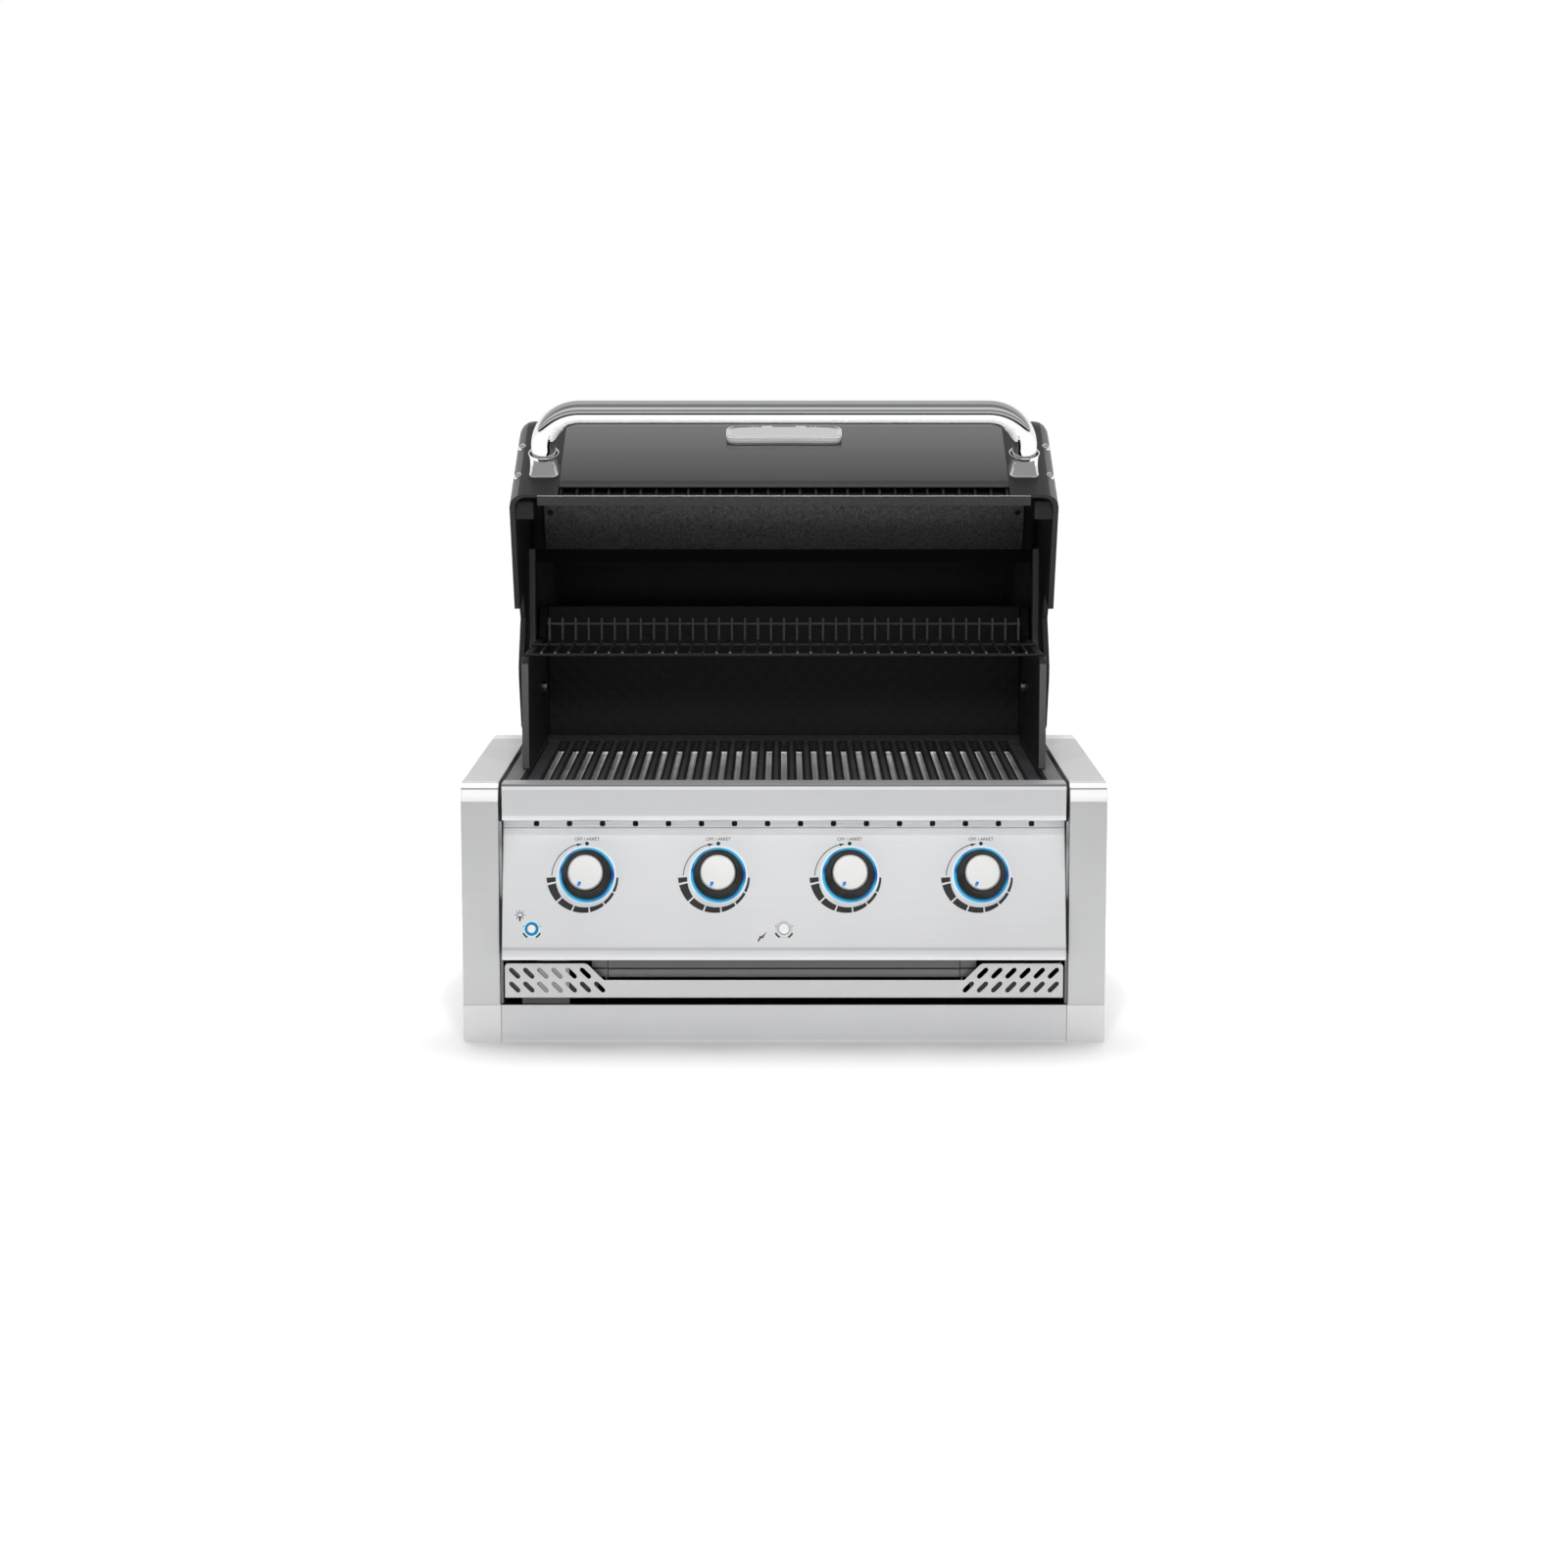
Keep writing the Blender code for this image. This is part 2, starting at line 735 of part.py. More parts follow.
def make_burners(burner_z, mouth, tail_end):
    """Open mouthed tubes, each with a tail pin that sits in the rear wall of the cook box."""
    for number, x in enumerate(burner_xs):
        end = burner_length
        profile = [(0, burner_bore_depth), (burner_bore, burner_bore_depth), (burner_bore, 0),
                   (burner_radius, 0), (burner_radius, end), (tail_radius, end),
                   (tail_radius, tail_end), (0, tail_end)]
        burner = lathe("burner_%d" % (number + 1), profile, "polished_steel", steps=inner_steps)
        burner.rotation_euler = (radians(-90), 0, 0)
        burner.location = (x, mouth, burner_z)


def make_manifold(line_y, line_z):
    """The gas pipe under the valves, bent down and back to its inlet behind the pan."""
    inlet_x = box_half * inlet_offset_share
    start = Vector((burner_xs[0] - manifold_end, line_y, line_z))
    corner = Vector((inlet_x, line_y, line_z))
    lower = corner - Vector((0, 0, manifold_drop))
    end = Vector((inlet_x, front + pan_rear + overrun, lower.z))
    points = [start] + bend(start, corner, lower) + bend(corner, lower, end) + [end]
    tube("gas_manifold", points, manifold_radius, "polished_steel")
    return end


def bend(before, corner, after):
    """Points of a round bend at a square corner."""
    back = (before - corner).normalized()
    onward = (after - corner).normalized()
    radius = min(manifold_bend, (after - corner).length / 2, (before - corner).length / 2)
    centre = corner + (back + onward) * radius
    steps = [radians(90 * step / curve_steps) for step in range(curve_steps + 1)]
    return [centre - onward * radius * cos(step) - back * radius * sin(step) for step in steps]


def make_gas_valves():
    """Valve bodies behind the panel, with a boss onto the manifold and a spud into the burner."""
    for number, x in enumerate(burner_xs):
        end = -valve_top - valve_length
        bore_end = -stem_in - stem_travel - clearance
        bore = stem_radius + clearance
        profile = [(0, bore_end), (bore, bore_end), (bore, -valve_top), (valve_radius, -valve_top),
                   (valve_radius, end), (spud_radius, end), (spud_radius, end - spud_length),
                   (0, end - spud_length)]
        valve = lathe("gas_valve_%d" % (number + 1), profile, "brass", panel_face, (x, knob_up, 0),
                      inner_steps)
        root = valve_radius / 2
        boss = lathe("valve_boss_%d" % (number + 1),
                     [(0, root), (boss_radius, root), (boss_radius, boss_reach), (0, boss_reach)],
                     "brass", valve, (0, 0, manifold_in), inner_steps)
        boss.rotation_euler = (radians(90), 0, 0)
        join(valve, boss)


def make_knobs():
    """Bezel, stem and knob on each valve's axis."""
    for number, x in enumerate(burner_xs):
        label = "_%d" % (number + 1)
        place = (x, knob_up, 0)
        bore = stem_radius + clearance
        face = clearance + bezel_thickness
        lathe("knob_bezel" + label,
              [(bore, -valve_top + clearance), (bezel_neck, -valve_top + clearance),
               (bezel_neck, clearance), (bezel_radius, clearance),
               (bezel_radius, face - bezel_lip), (bezel_radius - bezel_lip, face), (bore, face)],
              "light_blue", panel_face, place)
        lathe("valve_stem" + label,
              [(0, -stem_in), (stem_radius, -stem_in), (stem_radius, stem_out), (0, stem_out)],
              "brass", panel_face, place, inner_steps)
        low = face + stem_travel + clearance
        top = knob_protrusion
        shoulder = low + knob_skirt
        roof = stem_out + clearance
        knob = lathe("knob" + label,
                     [(0, roof), (bore, roof), (bore, low), (knob_radius, low),
                      (knob_radius, shoulder), (knob_neck_radius, shoulder + bezel_lip * 2),
                      (knob_cap_radius, top - bezel_lip), (knob_cap_radius - bezel_lip, top), (0, top)],
                     "knob_black", panel_face, place)
        pointer = box("knob_pointer" + label, (-pointer_width / 2, pointer_width / 2),
                      (knob_cap_radius - bezel_lip * 2 - pointer_length, knob_cap_radius - bezel_lip * 2),
                      (top - pointer_depth, top + overrun), "knob_black", panel_face)
        turn = radians(knob_rest_degrees)
        pointer.rotation_euler = (0, 0, turn)
        pointer.location = place
        cut(knob, pointer)


def make_buttons():
    """Two push buttons, each trapped behind its own bezel."""
    for name, x in button_places:
        place = (x, button_up, 0)
        bore = button_radius + clearance
        chamber = button_flange + clearance
        rest = -button_flange_thickness
        floor = rest - button_flange_thickness - button_travel - clearance * 2
        lathe(name + "_bezel",
              [(0, -button_in), (button_neck, -button_in), (button_neck, clearance),
               (button_bezel_radius, clearance), (button_bezel_radius, button_bezel_height - clearance),
               (button_bezel_radius - clearance, button_bezel_height), (bore, button_bezel_height),
               (bore, rest), (chamber, rest), (chamber, floor), (0, floor)],
              "polished_steel", panel_face, place, small_steps)
        low = floor + button_travel + clearance
        lathe(name + "_button",
              [(0, low), (button_flange, low), (button_flange, rest - clearance),
               (button_radius, rest - clearance), (button_radius, button_out - clearance * 2),
               (button_radius - clearance * 2, button_out), (0, button_out)],
              "button_white", panel_face, place, small_steps)


def make_rack():
    """Wire shelf on the side castings, its wires turned up behind into a fence."""
    rod = rack_rod / 2
    wire = rack_wire / 2
    z = front_height + casting_height + clearance + rod
    reach = box_half - clearance
    y = front + rack_front
    rear = y + rack_depth
    fence_y = rear + wire
    fence_z = z + rack_fence
    low_rods = [(rectangle(a - rod, a + rod, z - rod, z + rod), (-reach, reach))
                for a in (y, rear - rack_rear_inset)]
    rack = prisms("warming_rack", low_rods, "yz", "black_cast")
    wire_reach = reach * rack_wire_share
    fence_rod_y = fence_y + wire + rod / 2
    fence_rod_z = fence_z - fence_rod_drop
    fence_rod = rectangle(fence_rod_y - rod, fence_rod_y + rod, fence_rod_z - rod, fence_rod_z + rod)
    top = z + rod + wire
    low = z + rod / 2
    outline = [(y - rod - wire, low), (fence_y + wire, low), (fence_y + wire, fence_z),
               (fence_y - wire, fence_z), (fence_y - wire, top), (y - rod - wire, top)]
    wires = [(outline, (x - wire, x + wire)) for x in spread(wire_reach, rack_wire_count)]
    join(rack, prisms("rack_wires", wires, "yz", "black_cast"))
    join(rack, prism("rack_fence_rod", fence_rod, (-wire_reach - rack_wire, wire_reach + rack_wire),
                     "yz", "black_cast"))


def hood_path(inset):
    """The closed hood's outline from its front rim over to its rear, from the pivot."""
    rim = (hood_front - pivot_depth, rim_rise - pivot_rise)
    curve_top = rim_rise + panel_rise - pivot_rise
    centre = (rim[0] + hood_curve, curve_top)
    path = [rim] + arc(centre, hood_curve, 180, 90, curve_steps + 2)
    path += arc((0, 0), hood_rear_radius, 90, hood_rear_degrees, 2 * curve_steps)
    return offset_path(path, -inset) if inset else path


def make_hood_skin():
    path = hood_path(0)
    path[0] = (path[0][0], path[0][1] + skin_rim_gap)
    half = hood_half - cap_width - clearance
    folded_sheet("hood_skin", path, -skin_gauge, (-half, half), "yz", "black_enamel", hood_pivot,
                 smooth=True)


def rounded_stations(reach, radius, inset):
    """Places across a rounded edge, with how far the outline is drawn in at each."""
    angles = [radians(90 * step / corner_steps) for step in range(corner_steps + 1)]
    return [(reach - radius * (1 - sin(angle)), inset + radius * (1 - cos(angle))) for angle in angles]


def make_end_caps():
    """Cast ends with a large round on their outer edge, hollow inside, notched over the hinge."""
    lobe = [(lobe_rear, -lobe_drop + arm_lobe), (lobe_rear - arm_lobe, -lobe_drop),
            (-lobe_front + arm_lobe, -lobe_drop), (-lobe_front, -lobe_drop + arm_lobe / 3),
            (-lobe_front - arm_lobe, -lobe_drop + arm_width)]
    notch = [(-notch_rear - arm_width * 2, notch_rise - pivot_rise),
             (arm_lobe - notch_reach, notch_rise - pivot_rise - arm_lobe),
             (-notch_reach, rim_rise - pivot_rise)]
    base = lobe + notch
    plate = hood_half - cap_plate
    low = -lobe_drop - overrun
    outside = [(hood_half - cap_width, 0)] + rounded_stations(hood_half, cap_round, 0)
    inside = [(hood_half - cap_width - overrun, cap_flange)]
    inside += rounded_stations(plate, cap_round - cap_flange, cap_flange)
    for name, side in sides():
        rings = [[(side * x, y, z) for y, z in hood_path(inset) + base] for x, inset in outside]
        cap = loft("hood_end_cap_" + name, rings, "black_cast", hood_pivot, smooth=True)
        rings = []
        for x, inset in inside:
            path = hood_path(inset)
            path[0] = (path[0][0], low)
            path.append((path[-1][0], low))
            rings.append([(side * x, y, z) for y, z in path])
        cut(cap, loft("cap_hollow_" + name, rings, "black_cast", hood_pivot))
        tool = lathe("cap_pin_hole_" + name,
                     [(0, -hinge_pin_seat), (hinge_pin_radius + clearance, -hinge_pin_seat),
                      (hinge_pin_radius + clearance, overrun), (0, overrun)],
                     "black_cast", hood_pivot, (side * plate, 0, 0), small_steps)
        tool.rotation_euler = (0, radians(-90 * side), 0)
        cut(cap, tool)


def make_hood_liner():
    """The inner liner, with a lip under the rim and ribs up to the skin's lower edge."""
    half = hood_half - liner_side_gap - cap_plate
    path = hood_path(liner_inset)
    lip = rim_rise - pivot_rise - clearance - liner_gauge
    front_y = hood_front - pivot_depth
    path[0] = (path[0][0], lip)
    path.insert(0, (front_y, lip))
    liner = folded_sheet("hood_liner", path, -liner_gauge, (-half, half), "yz", "black_sheet",
                         hood_pivot, smooth=True)
    rib = rim_rib_width / 2
    depth = (front_y + skin_gauge, front_y + liner_inset + liner_gauge / 2)
    span = (lip + liner_gauge / 2, rim_rise + skin_rim_gap - pivot_rise - clearance)
    reach = hood_half - cap_width - clearance - rim_rib_width
    ribs = [(rectangle(x - rib, x + rib, *depth), span) for x in spread(reach, rim_rib_count)]
    join(liner, prisms("rim_ribs", ribs, "xy", "black_sheet", hood_pivot))


def make_hinge_frame():
    """Two hinge arms inside the end caps and the brace between them."""
    outer = hood_half - cap_plate - clearance
    inner = outer - arm_plate
    slope = arm_lean / (brace_top - brace_height * 2)
    lean_top = arm_lean + slope * brace_height
    lobe = arc((0, 0), arm_lobe, 180, 320, curve_steps)
    outline = lobe + [(arm_lean + arm_width * arm_rear_share, brace_top / 3),
                      (lean_top + arm_width, brace_top), (lean_top, brace_top),
                      (arm_lean * arm_front_share, brace_top / 3)]
    frame = prism("hood_hinge_frame", outline, span_of(-1, inner, outer), "yz", "black_sheet",
                  open_frame, smooth=True)
    join(frame, prism("hinge_arm_right", outline, span_of(1, inner, outer), "yz", "black_sheet",
                      open_frame))
    brace_y = lean_top + brace_setback
    half = (inner + outer) / 2
    join(frame, box("hinge_brace", (-half, half), (brace_y, brace_y + 2 * sheet_gauge),
                    (brace_top - brace_height, brace_top - brace_setback), "black_sheet", open_frame))
    hole = drilled("arm_pin_hole", (0, 0, 0), hinge_pin_radius, Vector((1, 0, 0)), half_width)
    hole.parent = open_frame
    cut(frame, hole)


def make_hinge_pins():
    """Headed pins from inside the cook box, through casting and arm, into the end cap."""
    for name, side in sides():
        head = box_half - casting_wall - clearance
        tip = hood_half - cap_plate + hinge_pin_seat - clearance
        pin = lathe("hinge_pin_" + name,
                    [(0, -hinge_pin_head_length), (hinge_pin_head, -hinge_pin_head_length),
                     (hinge_pin_head, 0), (hinge_pin_radius, 0), (hinge_pin_radius, tip - head),
                     (0, tip - head)], "polished_steel", hood_pivot, (side * head, 0, 0), small_steps)
        pin.rotation_euler = (0, radians(90 * side), 0)


def make_handle():
    """A bent tube, open at its ends, in two brackets that stand on the hood's end caps."""
    face = hood_front - pivot_depth
    z = rim_rise + handle_rise - pivot_rise
    x_post = hood_half * handle_offset_share
    seat = face - clearance - bracket_floor - clearance
    run = face - handle_standoff
    right = [(x_post, seat)] + arc((x_post - handle_bend, run + handle_bend), handle_bend, 0, -90,
                                   curve_steps + 2)
    points = right + [(-x, y) for x, y in reversed(right)]
    handle = level_bar("handle_tube", points, z, handle_radius, "polished_steel", hood_pivot)
    past_ends = [(x_post, seat + overrun)] + points[1:-1] + [(-x_post, seat + overrun)]
    cut(handle, level_bar("handle_bore", past_ends, z, handle_radius - handle_wall, "polished_steel",
                          hood_pivot))
    base = rounded_rectangle(bracket_width / 2, bracket_length / 2, bracket_corner, z)
    step = 360 / len(base)
    top = arc((0, z), bracket_top_radius, step / 2, 360 - step / 2, len(base) - 1)
    levels = ((face - clearance, base), (face - clearance - bracket_floor, base),
              (face - clearance - bracket_height, top))
    for name, side in sides():
        x = side * x_post
        rings = [[(x + a, y, b) for a, b in ring] for y, ring in levels]
        bracket = loft("handle_bracket_" + name, rings, "polished_steel", hood_pivot, smooth=True)
        bore = lathe("bracket_bore_" + name,
                     [(0, 0), (handle_radius + clearance, 0), (handle_radius + clearance, handle_standoff),
                      (0, handle_standoff)], "polished_steel", hood_pivot, (x, seat + clearance, z),
                     round_steps)
        bore.rotation_euler = (radians(90), 0, 0)
        cut(bracket, bore)


def make_hood_plate():
    """The blank plate on the hood's front."""
    z = rim_rise + plate_rise - pivot_rise
    outline = rounded_rectangle(plate_width / 2, plate_height / 2, plate_corner, z)
    face = hood_front - pivot_depth - clearance
    prism("hood_plate", outline, (face - plate_thickness, face), "xz", "polished_steel", hood_pivot,
          smooth=True)


def make_grease_tray():
    low = vent_bottom + rail_low_height + clearance + tray_wall / 2
    depth = (front + tray_depth_front, front + tray_depth_front + tray_length)
    tray = box("grease_tray", (-tray_half_width, tray_half_width), depth, (low, low + tray_height),
               "brushed_steel")
    wall = tray_wall
    cut(tray, box("tray_hollow", (wall - tray_half_width, tray_half_width - wall),
                  (depth[0] + wall, depth[1] - wall), (low + wall, low + tray_height + overrun),
                  "brushed_steel"))
    return low


def make_tray_cradle(tray_low):
    """Two runners on the pan's floor and the bar that joins them behind the tray."""
    leg = tray_half_width + runner_gap
    top = tray_low - clearance
    low = sheet_gauge + clearance
    outline = [(leg + runner_foot, low), (leg, low), (leg, top - sheet_gauge),
               (leg - runner_lip, top - sheet_gauge), (leg - runner_lip, top),
               (leg + sheet_gauge, top), (leg + sheet_gauge, low + sheet_gauge),
               (leg + runner_foot, low + sheet_gauge)]
    span = (front + pan_front + clearance, front + pan_front + runner_length)
    cradle = prism("tray_cradle", outline, span, "xz", "brushed_steel")
    join(cradle, prism("cradle_left", [(-x, z) for x, z in outline], span, "xz", "brushed_steel"))
    join(cradle, box("cradle_bar", (-leg - sheet_gauge / 2, leg + sheet_gauge / 2),
                     (span[1] - sheet_gauge, span[1]),
                     (low + sheet_gauge / 2, low + cradle_bar_height), "brushed_steel"))


# The control panel's own frame: across, up its slope, and out of its face
panel_tilt = atan2(panel_top_depth - panel_crease_depth, panel_top - panel_crease)
panel_slope = (panel_top - panel_crease) / cos(panel_tilt)
panel_face = empty("panel_face", (0, front + panel_crease_depth, panel_crease), radians(90) - panel_tilt)
knob_up = panel_slope * knob_height_share
button_up = panel_slope * button_height_share
burner_pitch = 2 * (box_half - box_wall - burner_margin) / burner_count
burner_xs = [burner_pitch * (number - (burner_count - 1) / 2) for number in range(burner_count)]
button_places = (("light", -fascia_half * light_offset_share), ("igniter", 0.0))


def panel_point(up, out):
    """Depth and height of a point by its distance up the panel and out of it."""
    y = front + panel_crease_depth + up * sin(panel_tilt) - out * cos(panel_tilt)
    z = panel_crease + up * cos(panel_tilt) + out * sin(panel_tilt)
    return y, z


# The hood turns about this point; its frame is turned to the open rest pose
pivot = Vector((0, front + pivot_depth, front_height + pivot_rise))
hood_half = trim_inner - hood_side_gap
hood_pivot = empty("hood_pivot", pivot, radians(-hood_open_degrees))
open_frame = empty("open_frame", (0, 0, 0), radians(hood_open_degrees), hood_pivot)

# The gas line follows the valves
spud_tip = -(valve_top + valve_length + spud_length)
tip_y, tip_z = panel_point(knob_up, spud_tip)
burner_z = tip_z + spud_radius
burner_mouth = tip_y - burner_mouth_gap
burner_length = front + floor_rear_depth - burner_rear_gap - burner_mouth
manifold_in = -(valve_top + valve_length / 2)
manifold_down = valve_radius + manifold_radius + boss_radius
boss_reach = manifold_down - manifold_radius - clearance
line_y, line_z = panel_point(knob_up - manifold_down, manifold_in)
slope_fall = front_height - slope_drop - burner_z
slope_share = slope_fall / (slope_fall + floor_under_burner)
hole_y = front + box_front + (slope_foot_depth - box_front) * slope_share
tail_y = front + box_rear - box_wall
tail_end = front + box_rear - burner_mouth - box_wall

make_side_trims()
make_foot_caps()
make_plinth()
gas_inlet = make_manifold(line_y, line_z)
make_base_pan(gas_inlet)
make_front_fascia()
make_vent_strip()
knob_places = [(x, knob_up, 0) for x in burner_xs]
small_places = [(x, button_up, 0) for name, x in button_places]
make_control_panel(knob_places + small_places, [bezel_neck] * burner_count + [button_neck] * 2)
make_lower_vent_rail()
tent_level = make_firebox([(x, hole_y, burner_z) for x in burner_xs],
                          [(x, tail_y, burner_z) for x in burner_xs], burner_z)
make_side_castings()
make_rear_wall()
make_grids()
make_heat_tents(tent_level)
make_burners(burner_z, burner_mouth, tail_end)
make_gas_valves()
make_knobs()
make_buttons()
make_rack()
make_hood_skin()
make_end_caps()
make_hood_liner()
make_hinge_frame()
make_hinge_pins()
make_handle()
make_hood_plate()
tray_low = make_grease_tray()
make_tray_cradle(tray_low)
print("hood pivot", tuple(pivot), "panel tilt in radians", panel_tilt)
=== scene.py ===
import json
from math import cos, pi, radians, sin
import bpy
import bmesh
from mathutils import Matrix, Vector


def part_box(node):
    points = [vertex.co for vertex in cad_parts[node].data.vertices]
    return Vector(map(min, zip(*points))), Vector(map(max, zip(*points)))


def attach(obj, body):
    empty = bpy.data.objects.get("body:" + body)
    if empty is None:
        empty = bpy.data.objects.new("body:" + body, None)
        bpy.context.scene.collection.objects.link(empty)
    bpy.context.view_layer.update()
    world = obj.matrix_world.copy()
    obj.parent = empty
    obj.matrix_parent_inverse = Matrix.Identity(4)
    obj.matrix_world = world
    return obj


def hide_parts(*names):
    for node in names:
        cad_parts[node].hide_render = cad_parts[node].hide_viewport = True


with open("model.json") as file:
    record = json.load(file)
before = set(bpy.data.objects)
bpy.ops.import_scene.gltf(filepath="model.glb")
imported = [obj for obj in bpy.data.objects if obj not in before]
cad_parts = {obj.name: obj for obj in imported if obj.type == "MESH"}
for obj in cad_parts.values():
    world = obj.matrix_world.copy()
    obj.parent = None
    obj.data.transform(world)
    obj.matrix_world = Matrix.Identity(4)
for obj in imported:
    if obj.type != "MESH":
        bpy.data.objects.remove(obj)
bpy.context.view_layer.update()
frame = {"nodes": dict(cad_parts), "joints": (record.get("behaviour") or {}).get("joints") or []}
nodes = frame["nodes"]
joints = {joint["name"]: joint for joint in frame["joints"]}
fixedBody = "frame_and_cook_box"
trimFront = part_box("side_trim_left")[0].y
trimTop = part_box("side_trim_left")[1].z
pivot = Vector(joints["hood_hinge"]["pos_m"])
openAngle = radians(-joints["hood_hinge"]["range_deg"][1])
print("frame loaded with", len(nodes), "nodes")

# Camera, floor and light


def linkObject(name, data):
    made = bpy.data.objects.new(name, data)
    bpy.context.scene.collection.objects.link(made)
    return made


cameraSet = {"place": (0.0, -4.2095, 0.876), "downDegrees": 7.94, "lens": 74.99, "sensor": 36.0}
camera = bpy.data.cameras.new("camera")
camera.lens = cameraSet["lens"]
camera.sensor_width = cameraSet["sensor"]
cameraObject = linkObject("camera", camera)
cameraObject.location = cameraSet["place"]
cameraObject.rotation_euler = (radians(90 - cameraSet["downDegrees"]), 0, 0)
bpy.context.scene.camera = cameraObject
bpy.context.scene.view_settings.view_transform = "Standard"


def rgb(colour):
    return colour if isinstance(colour, tuple) else (colour, colour, colour)


def setSocket(tree, socket, value):
    if isinstance(value, bpy.types.NodeSocket):
        tree.links.new(value, socket)
    else:
        socket.default_value = value


def addNode(tree, kind, inputs=None, **settings):
    node = tree.nodes.new(kind)
    for key, value in settings.items():
        setattr(node, key, value)
    for key, value in (inputs or {}).items():
        setSocket(tree, node.inputs[key], value)
    return node


def mathNode(tree, operation, first, second):
    return addNode(tree, "ShaderNodeMath", {0: first, 1: second}, operation=operation).outputs[0]


def mixNode(tree, factor, first, second):
    inputs = {"Factor": factor, "A": first, "B": second}
    return addNode(tree, "ShaderNodeMix", inputs, data_type="RGBA").outputs["Result"]


def rangeNode(tree, value, low, high, toLow=0.0, toHigh=1.0):
    inputs = {"Value": value, "From Min": low, "From Max": high, "To Min": toLow, "To Max": toHigh}
    return addNode(tree, "ShaderNodeMapRange", inputs).outputs["Result"]


def splitNode(tree, vector):
    return addNode(tree, "ShaderNodeSeparateXYZ", {0: vector}).outputs


def vectorNode(tree, operation, inputs):
    return addNode(tree, "ShaderNodeVectorMath", inputs, operation=operation).outputs


def addBump(tree, shader, strength, distance, height):
    inputs = {"Strength": strength, "Distance": distance, "Height": height}
    setSocket(tree, shader["Normal"], addNode(tree, "ShaderNodeBump", inputs).outputs["Normal"])


def objectPlace(tree):
    return addNode(tree, "ShaderNodeTexCoord").outputs["Object"]


def ramp(tree, factor, stops):
    node = addNode(tree, "ShaderNodeValToRGB", {"Fac": factor})
    bar = node.color_ramp
    while len(bar.elements) > 1:
        bar.elements.remove(bar.elements[-1])
    for number, (place, colour) in enumerate(stops):
        stop = bar.elements[0] if number == 0 else bar.elements.new(place)
        stop.position = place
        stop.color = (*rgb(colour), 1.0)
    return node.outputs["Color"]


def newMaterial(name):
    material = bpy.data.materials.new(name)
    material.use_nodes = True
    tree = material.node_tree
    return material, tree, tree.nodes["Principled BSDF"].inputs


# Brightness that polished metal sees, by the angle up from the horizon behind the camera
studio = {
    "ambient": 0.46,
    "bands": ((-180, 0.9), (-12, 0.6), (0, 0.6), (5, 0.42), (9, 0.27), (17, 0.19), (22, 0.33), (27, 0.55),
              (36, 0.74), (42, 0.55), (47, 0.36), (56, 0.19), (66, 0.17), (78, 0.28), (90, 0.43), (104, 0.52),
              (111, 0.34), (118, 0.25), (123, 0.42), (128, 0.66), (141, 0.87), (165, 1.0), (180, 1.0)),
}
world = bpy.data.worlds.new("studio")
bpy.context.scene.world = world
world.use_nodes = True
tree = world.node_tree
aim = splitNode(tree, addNode(tree, "ShaderNodeTexCoord").outputs["Generated"])
angle = mathNode(tree, "ARCTAN2", aim["Z"], mathNode(tree, "MULTIPLY", aim["Y"], -1.0))
share = mathNode(tree, "ADD", mathNode(tree, "DIVIDE", angle, 2 * pi), 0.5)
bands = ramp(tree, share, [((degrees + 180) / 360, level) for degrees, level in studio["bands"]])
path = addNode(tree, "ShaderNodeLightPath").outputs
seen = mathNode(tree, "MAXIMUM", path["Is Camera Ray"], path["Is Transmission Ray"])
lit = mixNode(tree, path["Is Glossy Ray"], (*rgb(studio["ambient"]), 1), bands)
setSocket(tree, tree.nodes["Background"].inputs["Color"], mixNode(tree, seen, lit, (1, 1, 1, 1)))


def addLamp(name, kind, energy, place, aim, **settings):
    light = bpy.data.lights.new(name, kind)
    light.energy = energy
    for key, value in settings.items():
        setattr(light, key, value)
    holder = linkObject(name, light)
    holder.location = place
    holder.rotation_euler = (Vector(aim) - holder.location).to_track_quat("-Z", "Y").to_euler()
    holder.visible_glossy = False
    return holder


# The top light leans from behind, so a soft shadow falls in front. The grid lights reach the grids and the
# heat tents under them, those at the sides slanting as the view does.
addLamp("topLight", "SUN", 2.5, (0.0, 0.536, 2.0), (0.0, 0.0, 0.0), angle=radians(36))
addLamp("frontLight", "AREA", 42.0, (0.0, -3.4, 1.6), (0.0, 0.0, 0.3), size=2.2)
gridLight = addLamp("gridLight", "SPOT", 150.0, (0.0, -1.8, 2.2), (0.0, 0.1, 0.3), spot_size=radians(18),
                    spot_blend=0.35, shadow_soft_size=0.12)
gridLight.scale = (2.4, 1.0, 1.0)
for side, sign in (("Left", -1), ("Right", 1)):
    addLamp("gridLight" + side, "SPOT", 115.0, (-0.62 * sign, -1.8, 2.2), (0.24 * sign, 0.15, 0.31),
            spot_size=radians(11), spot_blend=0.45, shadow_soft_size=0.06)

# What metal sees of the floor goes by the distance in front of the grill, from "far" to its middle
floorSet = {"half": 30.0, "colour": 0.88, "seen": 0.81, "glow": 0.02, "far": -8.0,
            "mirrored": ((0.0, 0.42), (0.44, 0.22), (0.58, 0.12), (0.6, 0.0), (0.78, 0.0), (0.782, 0.35),
                         (0.85, 0.88), (1.0, 0.88))}
shape = bmesh.new()
bmesh.ops.create_grid(shape, x_segments=1, y_segments=1, size=floorSet["half"])
floorMesh = bpy.data.meshes.new("floor")
shape.to_mesh(floorMesh)
shape.free()
floor = linkObject("floor", floorMesh)
floorPaint, tree, shader = newMaterial("paleFloor")
shader["Roughness"].default_value = 0.9
shader["Specular IOR Level"].default_value = 0.0
shader["Emission Color"].default_value = (1, 1, 1, 1)
reach = rangeNode(tree, splitNode(tree, objectPlace(tree))["Y"], floorSet["far"], 0.0)
strip = ramp(tree, reach, floorSet["mirrored"])
path = addNode(tree, "ShaderNodeLightPath").outputs
